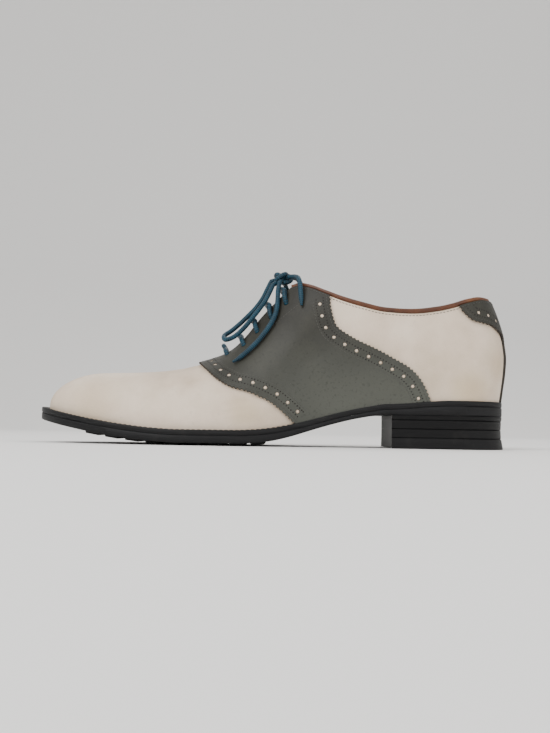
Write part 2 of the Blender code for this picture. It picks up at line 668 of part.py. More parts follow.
# Routes of the bow's loops and ends, from the knot outwards: each rests on the bars, the facings or the saddle
BOW_ROUTES = {
    "lace_loop_front": (
        (-0.1103, -0.0010, 0.1043), (-0.1128, -0.0010, 0.0990), (-0.1158, -0.0012, 0.0928), (-0.1202, -0.0015, 0.0866),
        (-0.1252, -0.0020, 0.0812), (-0.1300, -0.0028, 0.0763), (-0.1350, -0.0042, 0.0718), (-0.1392, -0.0078, 0.0683),
        (-0.1382, -0.0126, 0.0655), (-0.1330, -0.0152, 0.0670), (-0.1275, -0.0155, 0.0718), (-0.1226, -0.0150, 0.0778),
        (-0.1180, -0.0140, 0.0840), (-0.1140, -0.0125, 0.0900), (-0.1112, -0.0100, 0.0960), (-0.1092, -0.0065, 0.1012),
    ),
    "lace_loop_back": (
        (-0.0973, 0.0048, 0.1078), (-0.0942, 0.0097, 0.1080), (-0.0915, 0.0142, 0.1060), (-0.0895, 0.0180, 0.1020),
        (-0.0882, 0.0202, 0.0965), (-0.0880, 0.0215, 0.0910), (-0.0890, 0.0223, 0.0858), (-0.0922, 0.0215, 0.0825),
        (-0.0955, 0.0195, 0.0845), (-0.0970, 0.0175, 0.0895), (-0.0982, 0.0160, 0.0945), (-0.0993, 0.0142, 0.0992),
        (-0.1008, 0.0110, 0.1025), (-0.1018, 0.0080, 0.1046),
    ),
    "lace_end_long": (
        (-0.1050, -0.0060, 0.1030), (-0.1058, -0.0098, 0.0975), (-0.1060, -0.0136, 0.0912), (-0.1066, -0.0182, 0.0842),
        (-0.1086, -0.0216, 0.0775), (-0.1130, -0.0242, 0.0700), (-0.1180, -0.0258, 0.0634), (-0.1230, -0.0272, 0.0582),
        (-0.1284, -0.0284, 0.0533), (-0.1325, -0.0293, 0.0506),
    ),
    "lace_end_short": (
        (-0.0978, -0.0058, 0.1068), (-0.0950, -0.0104, 0.1062), (-0.0932, -0.0150, 0.1045), (-0.0923, -0.0186, 0.1003),
        (-0.0918, -0.0194, 0.0955), (-0.0915, -0.0205, 0.0915), (-0.0912, -0.0224, 0.0868),
    ),
}


def make_bars():
    """The lace where it crosses the throat, lying on both facings and bridging the tongue."""
    above = 2 * GAP + LACE / 2
    for number, s in enumerate(lace_rows(), 1):
        sides = []
        for side in (-1, 1):
            low = eyelet_height(s, side)
            heights = [low, low + (1 - low) * 0.35, low + (1 - low) * 0.7, 1.0]
            sides.append([face_of_saddle(s, v, side, above) for v in heights])
        middle_point = (sides[0][-1] + sides[1][-1]) / 2
        normal = (outward(turn_of(s), 1.0, -1) + outward(turn_of(s), 1.0, 1)).normalized()
        route = sides[0] + [middle_point + normal * BAR_ARCH] + sides[1][::-1]
        tube(f"lace_bar_{number}", smooth_route(route, 15), LACE, LACE_COLOUR)


def make_knot():
    rings = []
    for i in range(1, 8):
        rise = -math.cos(math.pi * i / 8)
        wide = math.sin(math.pi * i / 8)
        ring = []
        for k in range(12):
            angle = 2 * math.pi * k / 12
            place = (wide * math.cos(angle), wide * math.sin(angle), rise)
            ring.append([c + size / 2 * p for c, size, p in zip(KNOT_CENTRE, KNOT_SIZE, place)])
        rings.append(ring)
    return finish("lace_knot", loft(rings, True, True), LACE_COLOUR, 0.6)


def make_bow():
    make_knot()
    for name, route in BOW_ROUTES.items():
        length = sum(math.dist(a, b) for a, b in zip(route, route[1:]))
        tube(name, smooth_route(route, 2 + round(length / (2 * LACE))), LACE, LACE_COLOUR)


def clear_scene():
    for thing in list(bpy.data.objects):
        bpy.data.objects.remove(thing)


def main():
    clear_scene()
    make_upper()
    make_saddle()
    make_heel_tab()
    make_binding()
    make_welt()
    make_outsole()
    make_insole()
    make_heel()
    make_tongue()
    make_bars()
    make_bow()


main()
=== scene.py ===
import math

import bmesh
import bpy
import numpy as np
from mathutils import Matrix, Vector
from mathutils.bvhtree import BVHTree


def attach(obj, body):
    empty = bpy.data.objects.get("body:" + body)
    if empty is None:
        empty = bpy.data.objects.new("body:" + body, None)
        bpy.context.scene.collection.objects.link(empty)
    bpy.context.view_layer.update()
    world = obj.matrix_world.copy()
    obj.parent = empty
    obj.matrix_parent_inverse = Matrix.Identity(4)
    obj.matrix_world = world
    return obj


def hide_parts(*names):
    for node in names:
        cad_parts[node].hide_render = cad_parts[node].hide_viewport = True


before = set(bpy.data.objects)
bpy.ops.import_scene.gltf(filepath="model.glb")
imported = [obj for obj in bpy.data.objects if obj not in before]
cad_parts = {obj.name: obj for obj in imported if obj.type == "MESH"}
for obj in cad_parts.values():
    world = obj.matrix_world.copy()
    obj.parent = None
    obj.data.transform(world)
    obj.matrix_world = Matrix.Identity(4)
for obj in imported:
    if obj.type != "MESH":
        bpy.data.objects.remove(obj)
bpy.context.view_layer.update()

scene = bpy.context.scene

# The shoe's own sizes in metres. s runs from the back of the heel to the toe, and tables give it as a share of length.
shoe = {
    "length": 0.290, "ballWidth": 0.103, "instepHeight": 0.1025, "backHeight": 0.0945, "collarDip": 0.085,
    "toeSpring": 0.013, "toeOffset": 0.003, "heelLength": 0.072, "wall": 0.0021, "overlay": 0.0012,
    "overlayGap": 0.0008, "gap": 0.0003, "welt": 0.0030, "band": 0.0088, "bindingHeight": 0.0023,
    "bindingWidth": 0.0036, "lug": 0.0014, "heelStack": 0.0198, "heelRound": 0.031, "toeRound": 0.056,
    "toeBoxRound": 0.034, "roundPower": 2.2, "marginHeel": 0.0018, "marginWaist": 0.0030, "marginFore": 0.0048,
}
throatFront = shoe["length"] * 0.6069
facingTop = shoe["length"] * 0.4586
saddleLift = shoe["overlayGap"] + shoe["overlay"]  # how far the saddle's outer face stands off the upper

outline = {
    "share": (0.00, 0.13, 0.21, 0.28, 0.36, 0.44, 0.52, 0.60, 0.68, 0.74, 0.80, 0.86, 0.93, 1.00),
    "lateral": (0.315, 0.322, 0.318, 0.318, 0.334, 0.372, 0.428, 0.478, 0.502, 0.492, 0.464, 0.430, 0.400, 0.385),
    "medial": (0.315, 0.320, 0.305, 0.282, 0.260, 0.277, 0.342, 0.422, 0.482, 0.500, 0.492, 0.470, 0.450, 0.440),
}
soleSide = {
    "share": (0.00, 0.12, 0.176, 0.214, 0.262, 0.293, 0.328, 0.362, 0.397, 0.431, 0.466, 0.500, 0.534, 0.570, 0.690,
              0.741, 0.793, 0.862, 0.931, 1.00),
    "rise": (1.0, 1.0, 1.0, 1.0, 1.0, 0.935, 0.832, 0.700, 0.543, 0.375, 0.207, 0.087, 0.022, 0.0, 0.0,
             0.0, 0.0, 0.0, 0.0, 0.0),
    "spring": (0.0, 0.0, 0.0, 0.0, 0.0, 0.0, 0.0, 0.0, 0.0, 0.0, 0.0, 0.0, 0.0, 0.0, 0.0,
               0.055, 0.170, 0.390, 0.670, 1.00),
    "edge": (1.00, 1.00, 0.90, 0.77, 0.68, 0.65, 0.64, 0.65, 0.67, 0.72, 0.80, 0.85, 0.865, 0.85, 0.84,
             0.84, 0.84, 0.84, 0.84, 0.84),
}
sections = {
    "share": (0.00, 0.10, 0.207, 0.31, 0.379, 0.421, 0.4586, 0.481, 0.517, 0.555, 0.583, 0.6069, 0.650, 0.687, 0.745,
              0.819, 0.88, 1.00),
    "top": (1.15, 1.17, 1.18, 1.170, 1.125, 1.055, 0.961, 0.895, 0.780, 0.645, 0.570, 0.535, 0.4915, 0.466, 0.443,
            0.431, 0.425, 0.415),
    "halfTop": (0.190, 0.205, 0.210, 0.190, 0.150, 0.115, 0.086, 0.087, 0.087, 0.076, 0.050, 0.0, 0.0, 0.0, 0.0,
                0.0, 0.0, 0.0),
    "belly": (0.020, 0.035, 0.032, 0.032, 0.034, 0.036, 0.038, 0.038, 0.036, 0.032, 0.030, 0.028, 0.026, 0.026, 0.028,
              0.032, 0.034, 0.034),
    "lift": (0.30, 0.30, 0.32, 0.36, 0.38, 0.40, 0.42, 0.43, 0.44, 0.47, 0.49, 0.51, 0.56, 0.58, 0.60,
             0.62, 0.62, 0.62),
    "reach": (0.25, 0.25, 0.22, 0.22, 0.24, 0.29, 0.35, 0.35, 0.35, 0.40, 0.47, 0.54, 0.60, 0.61, 0.63,
              0.66, 0.68, 0.68),
    "drop": (0.40, 0.42, 0.44, 0.42, 0.35, 0.26, 0.18, 0.175, 0.165, 0.115, 0.060, 0.020, 0.0, 0.0, 0.0,
             0.0, 0.0, 0.0),
}
collar = {
    "share": (0.00, 0.031, 0.072, 0.110, 0.148, 0.20, 0.26, 0.31, 0.35, 0.387, 0.421, 0.443, 0.4586),
    "back": (1.00, 1.00, 0.78, 0.46, 0.22, 0.04, 0.0, 0.0, 0.0, 0.0, 0.0, 0.0, 0.0),
    "front": (0.0, 0.0, 0.0, 0.0, 0.0, 0.0, 0.06, 0.25, 0.45, 0.69, 0.92, 1.00, 0.93),
}
counter = {
    "share": (0.00, 0.12, 0.30, 0.42, 0.55, 0.68, 0.80, 0.92, 1.00),
    "behind": (0.000, 0.011, 0.028, 0.033, 0.023, 0.002, -0.023, -0.055, -0.083),
}
saddleEdges = {
    "share": (0.00, 0.05, 0.10, 0.16, 0.22, 0.30, 0.39, 0.48, 0.57, 0.66, 0.75, 0.85, 0.93, 1.00),
    "front": (0.450, 0.466, 0.482, 0.501, 0.523, 0.553, 0.589, 0.612, 0.627, 0.637, 0.645, 0.6515, 0.655, 0.6565),
    "rear": (0.167, 0.171, 0.175, 0.180, 0.186, 0.196, 0.213, 0.242, 0.278, 0.330, 0.366, 0.374, 0.3775, 0.378),
}
tabEdge = {
    "share": (0.00, 0.60, 0.66, 0.70, 0.74, 0.77, 0.80, 0.84, 0.89, 0.946, 1.00),
    "turn": (0.011, 0.011, 0.022, 0.055, 0.087, 0.106, 0.140, 0.171, 0.183, 0.193, 0.197),
}


# Small helpers for objects and rows of points

def placed(name, data):
    thing = bpy.data.objects.new(name, data)
    scene.collection.objects.link(thing)
    return thing


def aimed(thing, place, aim, roll=0.0):
    # stands a camera or lamp at place, looking at aim, rolled by so many degrees
    thing.location = place
    look = (Vector(aim) - Vector(place)).to_track_quat("-Z", "Y").to_matrix()
    thing.rotation_euler = (look @ Matrix.Rotation(math.radians(roll), 3, "Z")).to_euler()


def matched(*values):
    # arrays of numbers, all of one shape
    return np.broadcast_arrays(*(np.asarray(value, float) for value in values))


def unit(vectors):
    return vectors / np.maximum(np.linalg.norm(vectors, axis=-1, keepdims=True), 1e-12)


def walkedAlong(points):
    # how far down a row of points each one stands
    return np.concatenate([[0.0], np.cumsum(np.linalg.norm(np.diff(points, axis=0), axis=1))])


def sampled(places, walked, rows):
    # the rows' values at these places on the way
    return np.stack([np.interp(places, walked, column) for column in rows.T], axis=-1)


def eased(t):
    # 0 to 1, soft at both ends
    t = np.clip(t, 0.0, 1.0)
    return t * t * (3 - 2 * t)


cameraPlace = {"at": (-0.104, -0.640, 0.010), "aim": (-0.107, 0.0, 0.050), "roll": 1.0, "lens": 66.0}

camera = placed("photoCamera", bpy.data.cameras.new("photoCamera"))
aimed(camera, cameraPlace["at"], cameraPlace["aim"], cameraPlace["roll"])
camera.data.sensor_fit = "HORIZONTAL"
camera.data.sensor_width = 36.0
camera.data.lens = cameraPlace["lens"]
camera.data.clip_start = 0.01
scene.camera = camera
print("camera set")


# Small helpers for materials

def srgb(code):
    # hex as seen on a screen, turned to the linear values that shaders take
    parts = [int(code[i:i + 2], 16) / 255 for i in (1, 3, 5)]
    return tuple(p / 12.92 if p <= 0.04045 else ((p + 0.055) / 1.055) ** 2.4 for p in parts) + (1.0,)


def feed(tree, node, inputs):
    # a node stands for the first output it shows and is linked, as a socket is; a hex colour is turned to linear
    for key, value in inputs.items():
        if isinstance(value, bpy.types.Node):
            value = next(out for out in value.outputs if out.enabled)
        if isinstance(value, bpy.types.NodeSocket):
            tree.links.new(value, node.inputs[key])
        else:
            node.inputs[key].default_value = srgb(value) if str(value).startswith("#") else value


def add(tree, kind, inputs=None, stops=(), **settings):
    # adds a node with its properties and inputs; stops are a colour ramp's places and colours
    node = tree.nodes.new(kind)
    for name, value in settings.items():
        setattr(node, name, value)
    elements = node.color_ramp.elements if stops else ()
    while len(elements) < len(stops):
        elements.new(0.5)
    for element, (place, colour) in zip(elements, stops):
        element.position = place
        element.color = srgb(colour)
    feed(tree, node, inputs or {})
    return node


def newMaterial(name, **values):
    material = bpy.data.materials.new(name)
    material.use_nodes = True
    tree = material.node_tree
    shader = tree.nodes["Principled BSDF"]
    feed(tree, shader, {key.replace("_", " "): value for key, value in values.items()})
    return material, tree, shader


def leatherBump(tree, shader, coords, grainMm, grainDeep, foldMm, foldDeep):
    # pebbled grain from cells, with soft folds of a larger size under it
    grain = add(tree, "ShaderNodeTexVoronoi", {"Vector": coords, "Scale": 1000 / grainMm}, feature="F1")
    fold = add(tree, "ShaderNodeTexNoise", {"Vector": coords, "Scale": 1000 / foldMm, "Detail": 4.0, "Roughness": 0.55})
    soft = add(tree, "ShaderNodeBump", {"Height": fold, "Strength": 1.0, "Distance": foldDeep / 1000})
    fine = {"Height": grain, "Strength": 1.0, "Distance": grainDeep / 1000, "Normal": soft}
    feed(tree, shader, {"Normal": add(tree, "ShaderNodeBump", fine)})


def spot(tree, coords, place, size, soft):
    # 1 inside a round patch at this place, falling to 0 over soft
    away = add(tree, "ShaderNodeVectorMath", {0: coords, 1: place}, operation="DISTANCE")
    fall = {"Value": away, "From Min": size + soft, "From Max": size}
    return add(tree, "ShaderNodeMapRange", fall, interpolation_type="SMOOTHSTEP")


def specked(tree, base, noise, low, high, most, colour):
    # small marks of another colour over the base, where the noise runs from low to high
    marks = add(tree, "ShaderNodeTexNoise", noise)
    share = add(tree, "ShaderNodeMapRange", {"Value": marks, "From Min": low, "From Max": high, "To Max": most})
    return add(tree, "ShaderNodeMix", {0: share, 6: base, 7: colour}, data_type="RGBA")


# The last: every leather piece is taken from this one shape

def along(table, column, share):
    # a smooth curve through the table's values, that never swings past them
    x, y = np.array(table["share"]), np.array(table[column])
    slope = np.diff(y) / np.diff(x)
    product = slope[:-1] * slope[1:]
    inner = np.where(product > 0, 2 * product / (slope[:-1] + slope[1:] + 1e-12), 0.0)
    bend = np.concatenate([[slope[0]], inner, [slope[-1]]])
    share = np.clip(share, x[0], x[-1])
    k = np.clip(np.searchsorted(x, share, side="right") - 1, 0, len(x) - 2)
    width = x[k + 1] - x[k]
    t = (share - x[k]) / width
    return (y[k] * (1 + 2 * t) * (1 - t) ** 2 + y[k + 1] * t * t * (3 - 2 * t)
            + width * (bend[k] * t * (1 - t) ** 2 - bend[k + 1] * t * t * (1 - t)))


def rounded(distance, length):
    left = 1 - np.clip(distance / length, 0.0, 1.0)
    return (1 - left ** shoe["roundPower"]) ** (1 / shoe["roundPower"])


def xAt(s):
    return shoe["heelLength"] / 2 - s


def middle(s):
    return shoe["toeOffset"] * eased((s / shoe["length"] - 0.6) / 0.4)


def halfWidth(s, side, inset, heelInset, toeInset):
    lateral, medial = (along(outline, name, s / shoe["length"]) for name in ("lateral", "medial"))
    wide = np.where(side < 0, lateral, medial) * shoe["ballWidth"] - inset
    return wide * rounded(s - heelInset, shoe["heelRound"]) * rounded(shoe["length"] - toeInset - s, shoe["toeRound"])


def underside(s):
    rise, spring = (along(soleSide, name, s / shoe["length"]) for name in ("rise", "spring"))
    return shoe["lug"] + (shoe["heelStack"] + shoe["gap"] - shoe["lug"]) * rise + shoe["toeSpring"] * spring


def feather(s):
    # the height of the line where the upper meets the sole
    return underside(s) + shoe["band"] * along(soleSide, "edge", s / shoe["length"])


def margin(s):
    # how far the sole's edge stands out past the upper
    share = s / shoe["length"]
    waist = shoe["marginHeel"] + (shoe["marginWaist"] - shoe["marginHeel"]) * eased((share - 0.05) / 0.25)
    return waist + (shoe["marginFore"] - shoe["marginWaist"]) * eased((share - 0.42) / 0.22)


def collarHeight(s):
    back, front = (along(collar, name, s / shoe["length"]) for name in ("back", "front"))
    low = shoe["collarDip"] - shoe["bindingHeight"] - shoe["overlayGap"]
    return low + (shoe["backHeight"] - shoe["collarDip"]) * back + (shoe["instepHeight"] - shoe["collarDip"]) * front


lastLength = shoe["length"] - shoe["marginHeel"] - shoe["marginFore"]


def sOf(turn):
    # turn runs from 0 at the back to 1 at the toe, finer near both ends
    return shoe["marginHeel"] + lastLength * (1 - np.cos(np.pi * turn)) / 2


def turnOf(s):
    return np.arccos(np.clip(1 - 2 * (s - shoe["marginHeel"]) / lastLength, -1.0, 1.0)) / np.pi


def last(turn, v, side):
    # v runs from 0 at the sole to 1 at the top; side is -1 on the outer side and 1 on the inner one
    turn, v, side = matched(turn, v, side)
    s = sOf(turn)
    toToe = shoe["length"] - shoe["marginFore"] - s
    ends = rounded(s - shoe["marginHeel"], shoe["heelRound"]) * rounded(toToe, shoe["toeRound"])
    topAt, halfTop, bellyAt, lift, reach, drop = (along(sections, name, s / shoe["length"]) for name in (
        "top", "halfTop", "belly", "lift", "reach", "drop"))
    foot = feather(s) + shoe["gap"]
    tall = (topAt * shoe["instepHeight"] - foot) * rounded(toToe, shoe["toeBoxRound"])
    wide = halfWidth(s, side, margin(s), shoe["marginHeel"], shoe["marginFore"])
    top, belly = (value * shoe["ballWidth"] * ends for value in (halfTop, bellyAt))
    weights = ((1 - v) ** 3, 3 * v * (1 - v) ** 2, 3 * v * v * (1 - v), v ** 3)
    out, up = (sum(w * value for w, value in zip(weights, values)) for values in (
        (wide, wide + belly, top + reach * (wide - top), top), (0 * tall, lift * tall, (1 - drop) * tall, tall)))
    fade = 1 - eased((s - shoe["marginHeel"]) / (2 * shoe["heelRound"]))
    back = fade * shoe["backHeight"] * along(counter, "behind", up / (shoe["backHeight"] - foot))
    return np.stack([xAt(s) + back, middle(s) + side * out, foot + up], axis=-1)


def outward(turn, v, side):
    turn, v, side = matched(turn, v, side)
    step = 1e-3
    lengthways = last(np.minimum(turn + step, 1.0), v, side) - last(np.maximum(turn - step, 0.0), v, side)
    upwards = last(turn, np.minimum(v + step, 1.0), side) - last(turn, np.maximum(v - step, 0.0), side)
    normal = np.cross(lengthways, upwards) * side[..., None]
    normal[turn < step, 1] = 0.0
    normal[turn > 1 - 2 * step] = (-1.0, 0.0, 0.0)
    return unit(normal)


def topShare(turn, side):
    # how far up the last the collar stands, found by halving
    turn, side = matched(turn, side)
    s = sOf(turn)
    wanted = collarHeight(s)
    low, high = np.zeros(s.shape), np.ones(s.shape)
    for _ in range(40):
        half = (low + high) / 2
        under = last(turn, half, side)[..., 2] < wanted
        low, high = np.where(under, half, low), np.where(under, high, half)
    return np.where(s >= facingTop - 1e-9, 1.0, (low + high) / 2)


# Creases and waves of worn leather: s and height in mm, along a short line

wear = {
    "creases": (  # side, s1, z1, s2, z2, depth in mm (below 0 is a ridge), width in mm
        (-1, 186, 47, 199, 27, 1.10, 3.4), (-1, 193, 48, 206, 29, -0.50, 4.5), (-1, 201, 46, 213, 28, 0.95, 3.6),
        (1, 185, 47, 197, 28, 1.00, 3.4), (1, 193, 48, 204, 30, -0.45, 4.5), (1, 202, 46, 211, 29, 0.85, 3.6),
        (-1, 152, 29, 174, 23, 0.60, 2.8), (-1, 160, 22, 178, 18, 0.40, 2.4), (1, 155, 30, 173, 23, 0.40, 4.0),
        (-1, 108, 60, 128, 48, 0.35, 8.0), (-1, 120, 74, 136, 58, -0.35, 8.0), (1, 110, 60, 128, 50, 0.35, 8.0),
        (-1, 26, 40, 48, 36, 0.30, 6.0), (1, 26, 42, 46, 37, 0.30, 6.0), (-1, 60, 62, 84, 50, 0.30, 9.0),
    ),
    "waves": 0.00028,  # slow unevenness all over
    "stillLow": 0.008, "stillRidge": 0.010,  # how far from the sole and the ridge the leather hardly moves
}


def worn(points, side):
    # how far the leather stands in or out at these points
    s, z = (shoe["heelLength"] / 2 - points[..., 0]) * 1000, points[..., 2] * 1000
    depth = wear["waves"] * np.sin(s / 9.0 + 0.7 * side) * np.sin(z / 7.0 + s / 31.0)
    for onSide, s1, z1, s2, z2, deep, wide in wear["creases"]:
        run = np.array([s2 - s1, z2 - z1], float)
        t = np.clip(((s - s1) * run[0] + (z - z1) * run[1]) / (run @ run), 0.0, 1.0)
        away = np.hypot(s - s1 - t * run[0], z - z1 - t * run[1])
        fade = np.sin(np.pi * (0.15 + 0.7 * t))
        depth = depth - np.where(side == onSide, deep / 1000 * fade * np.exp(-(away / wide) ** 2 * 2.5), 0.0)
    # nothing moves at the sole, at the back seam or along the ridge where the two sides meet
    low = eased((z / 1000 - feather(s / 1000)) / wear["stillLow"])
    ridge = eased((np.abs(points[..., 1] - middle(s / 1000)) - 0.001) / wear["stillRidge"])
    return depth * low * ridge


def leather(turn, v, side, lift):
    # a point this far off the worn upper's outer face, and its normal
    turn, v, side = matched(turn, v, side)
    normal = outward(turn, v, side)
    normal[v < 1e-9, 2] = 0.0
    both = (v > 1 - 1e-9) & (sOf(turn) > throatFront - 1e-9)
    if both.any():
        normal[both] = normal[both] + outward(turn[both], v[both], -side[both])
    normal = unit(normal)
    base = last(turn, v, side)
    return base + normal * (lift + worn(base, side))[..., None], normal


def saddleFace(s, v, side, lift):
    # a point this far off the saddle's outer face
    return leather(turnOf(np.asarray(s, float)), v, side, saddleLift + lift)[0]


def ridgeNormal(s):
    return unit(outward(turnOf(s), 1.0, -1) + outward(turnOf(s), 1.0, 1))


# Mesh helpers

def toMesh(name, points, faces, smoothAngle=40):
    mesh = bpy.data.meshes.new(name)
    mesh.from_pydata([tuple(p) for p in points], [], [tuple(f) for f in faces])
    mesh.validate()
    mesh.shade_smooth()
    mesh.set_sharp_from_angle(angle=math.radians(smoothAngle))
    return placed(name, mesh)


def closedPiece(name, points, faces, smoothAngle=40, thinnest=0.0):
    # a mesh with double points joined and all faces turned outwards
    piece = toMesh(name, points, faces, smoothAngle)
    bm = bmesh.new()
    bm.from_mesh(piece.data)
    bmesh.ops.remove_doubles(bm, verts=bm.verts, dist=2e-6)
    if thinnest:
        bmesh.ops.dissolve_degenerate(bm, edges=bm.edges, dist=thinnest)
    bmesh.ops.recalc_face_normals(bm, faces=bm.faces)
    bm.to_mesh(piece.data)
    bm.free()
    return piece


def gridFaces(rows, columns, start=0, flip=False):
    i, k = np.meshgrid(np.arange(rows - 1), np.arange(columns - 1), indexing="ij")
    a = start + i * columns + k
    quads = np.stack([a, a + columns, a + columns + 1, a + 1], axis=-1).reshape(-1, 4)
    return quads[:, ::-1] if flip else quads


def ringFaces(count, around):
    # the faces between rings of points that each close on themselves
    i, k = np.meshgrid(np.arange(count - 1) * around, np.arange(around), indexing="ij")
    a, b = i + k, i + (k + 1) % around
    return np.stack([a, b, b + around, a + around], axis=-1).reshape(-1, 4)


def merged(points, normals, faces):
    # joins points that lie on each other, such as along the ridge and the back seam
    keys = np.round(points / 5e-6).astype(np.int64)
    _, first, inverse = np.unique(keys, axis=0, return_index=True, return_inverse=True)
    inverse = inverse.reshape(-1)
    total = np.zeros((len(first), 3))
    np.add.at(total, inverse, normals)
    rings = [[p for k, p in enumerate(face) if p != face[k - 1]] for face in inverse[faces]]
    return points[first], unit(total), [ring for ring in rings if len(set(ring)) == len(ring) > 2]


def joined(sheets):
    # the outer and the inner side's grids of points and normals as one sheet
    rows, columns = sheets[0][0].shape[:2]
    faces = [gridFaces(rows, columns, k * rows * columns, flip=k == 0) for k in range(2)]
    points, normals = (np.concatenate([part.reshape(-1, 3) for part in parts]) for parts in zip(*sheets))
    return merged(points, normals, np.concatenate(faces))


def punched(points, faces, holes):
    # cuts round holes: faces that touch a hole go, and the points left at its rim move onto the circle
    points = points.copy()
    gone = np.zeros(len(faces), bool)
    for centre, radius in holes:
        near = np.linalg.norm(points - centre, axis=1)
        inside = set(np.nonzero(near < radius)[0].tolist())
        rim = set()
        for k, face in enumerate(faces):
            if not gone[k] and any(p in inside for p in face):
                gone[k] = True
                rim.update(p for p in face if p not in inside)
        for p in rim:
            points[p] = centre + (points[p] - centre) * (radius / near[p])
    return points, [face for k, face in enumerate(faces) if not gone[k]]


def shell(name, outer, normals, faces, thick):
    # a closed sheet: the outer face, an inner one this far in, and walls along every free edge
    count = len(outer)
    corner = np.array([face[:3] for face in faces])
    facing = np.cross(outer[corner[:, 1]] - outer[corner[:, 0]], outer[corner[:, 2]] - outer[corner[:, 0]])
    way = 1 if (facing * normals[corner[:, 0]]).sum() > 0 else -1
    faces = [list(face)[::way] for face in faces]
    used = dict.fromkeys((a, b) for face in faces for a, b in zip(face, face[1:] + face[:1]))
    walls = [(a, a + count, b + count, b) for a, b in used if (b, a) not in used]
    back = [[p + count for p in reversed(face)] for face in faces]
    piece = toMesh(name, np.concatenate([outer, outer - normals * thick]), faces + back + walls)
    bm = bmesh.new()
    bm.from_mesh(piece.data)
    bmesh.ops.delete(bm, geom=[p for p in bm.verts if not p.link_faces], context="VERTS")
    bm.to_mesh(piece.data)
    bm.free()
    return piece


def looped(name, rings, material, slotName, node):
    # a closed tube or block through rings of equal length
    count, around = np.shape(rings)[:2]
    faces = ringFaces(count, around)[:, [0, 3, 2, 1]].tolist()
    faces += [range(around), range((count - 1) * around, count * around)]
    return finishPiece(closedPiece(name, np.reshape(rings, (-1, 3)), faces), material, slotName, node)


def finishPiece(piece, material, slotName, *nodes):
    if material is not None:
        piece.data.materials.clear()
        piece.data.materials.append(material)
    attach(piece, "root")
    if nodes:
        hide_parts(*nodes)
    return piece


# The lace: its routes repeat the CAD's, in metres

lace = {
    # colours run from the dark end, painted shade in the weave's grooves, to the cord's own teal on the strands
    "thick": 0.0030, "sides": 14, "braidTurns": 5, "braidPitch": 2.6, "colours": ("#041E29", "#083A4C", "#0F5166"),
    "knotCentre": (-0.1030, 0.0, 0.1062), "knotSize": (0.00180, 0.00150, 0.00270), "intoKnot": (0.36, 0.14),
    "tipTaper": 0.006, "tipBulge": 0.35, "rows": 5, "first": 0.004, "pitch": 0.0132, "inset": 0.009, "barArch": 0.0030,
    "barDive": ((0.0, -0.0022), (0.004, -0.0002)),  # at the eyelet: how far above it, and how far off the saddle
    "barRise": ((0.22, -0.0009), (0.45, 0.0), (0.72, 0.0), (1.0, 0.0)),  # share of the way to the ridge, and lift
}
bow = {  # the node it stands for, how its far end is held, and its route
    "laceLoopFront": ("lace_loop_front", "knot", (
        (-0.1103, -0.0010, 0.1043), (-0.1128, -0.0010, 0.0990), (-0.1158, -0.0012, 0.0928), (-0.1202, -0.0015, 0.0866),
        (-0.1252, -0.0020, 0.0812), (-0.1300, -0.0028, 0.0763), (-0.1350, -0.0042, 0.0718), (-0.1392, -0.0078, 0.0683),
        (-0.1382, -0.0126, 0.0655), (-0.1330, -0.0152, 0.0670), (-0.1275, -0.0155, 0.0718), (-0.1226, -0.0150, 0.0778),
        (-0.1180, -0.0140, 0.0840), (-0.1140, -0.0125, 0.0900), (-0.1112, -0.0100, 0.0960), (-0.1092, -0.0065, 0.1012),
    )),
    "laceLoopBack": ("lace_loop_back", "knot", (
        (-0.0973, 0.0048, 0.1078), (-0.0942, 0.0097, 0.1080), (-0.0915, 0.0142, 0.1060), (-0.0895, 0.0180, 0.1020),
        (-0.0882, 0.0202, 0.0965), (-0.0880, 0.0215, 0.0910), (-0.0890, 0.0223, 0.0858), (-0.0922, 0.0215, 0.0825),
        (-0.0955, 0.0195, 0.0845), (-0.0970, 0.0175, 0.0895), (-0.0982, 0.0160, 0.0945), (-0.0993, 0.0142, 0.0992),
        (-0.1008, 0.0110, 0.1025), (-0.1018, 0.0080, 0.1046),
    )),
    "laceEndLong": ("lace_end_long", "bare", (
        (-0.1050, -0.0060, 0.1030), (-0.1058, -0.0098, 0.0975), (-0.1060, -0.0136, 0.0912), (-0.1066, -0.0182, 0.0842),
        (-0.1086, -0.0216, 0.0775), (-0.1130, -0.0242, 0.0700), (-0.1180, -0.0258, 0.0634), (-0.1230, -0.0272, 0.0582),
        (-0.1284, -0.0284, 0.0533), (-0.1325, -0.0293, 0.0506),
    )),
    "laceEndShort": ("lace_end_short", "bare", (
        (-0.0978, -0.0058, 0.1068), (-0.0950, -0.0104, 0.1062), (-0.0932, -0.0150, 0.1045), (-0.0923, -0.0186, 0.1003),
        (-0.0918, -0.0194, 0.0955), (-0.0915, -0.0205, 0.0915), (-0.0912, -0.0224, 0.0868),
    )),
}


def smoothRoute(points, count):
    # even points on a smooth curve through the route's own points
    route = [Vector(p) for p in points]
    ends = [route[0] * 2 - route[1]] + route + [route[-1] * 2 - route[-2]]
    fine = []
    for a, b, c, d in zip(ends, ends[1:], ends[2:], ends[3:]):
        for t in (i / 24 for i in range(24)):
            bend = (2 * a - 5 * b + 4 * c - d) * t * t + (3 * b - a - 3 * c + d) * t ** 3
            fine.append((2 * b + (c - a) * t + bend) / 2)
    fine = np.array([list(p) for p in fine + route[-1:]])
    walked = walkedAlong(fine)
    return sampled(np.linspace(0.0, walked[-1], count), walked, fine)


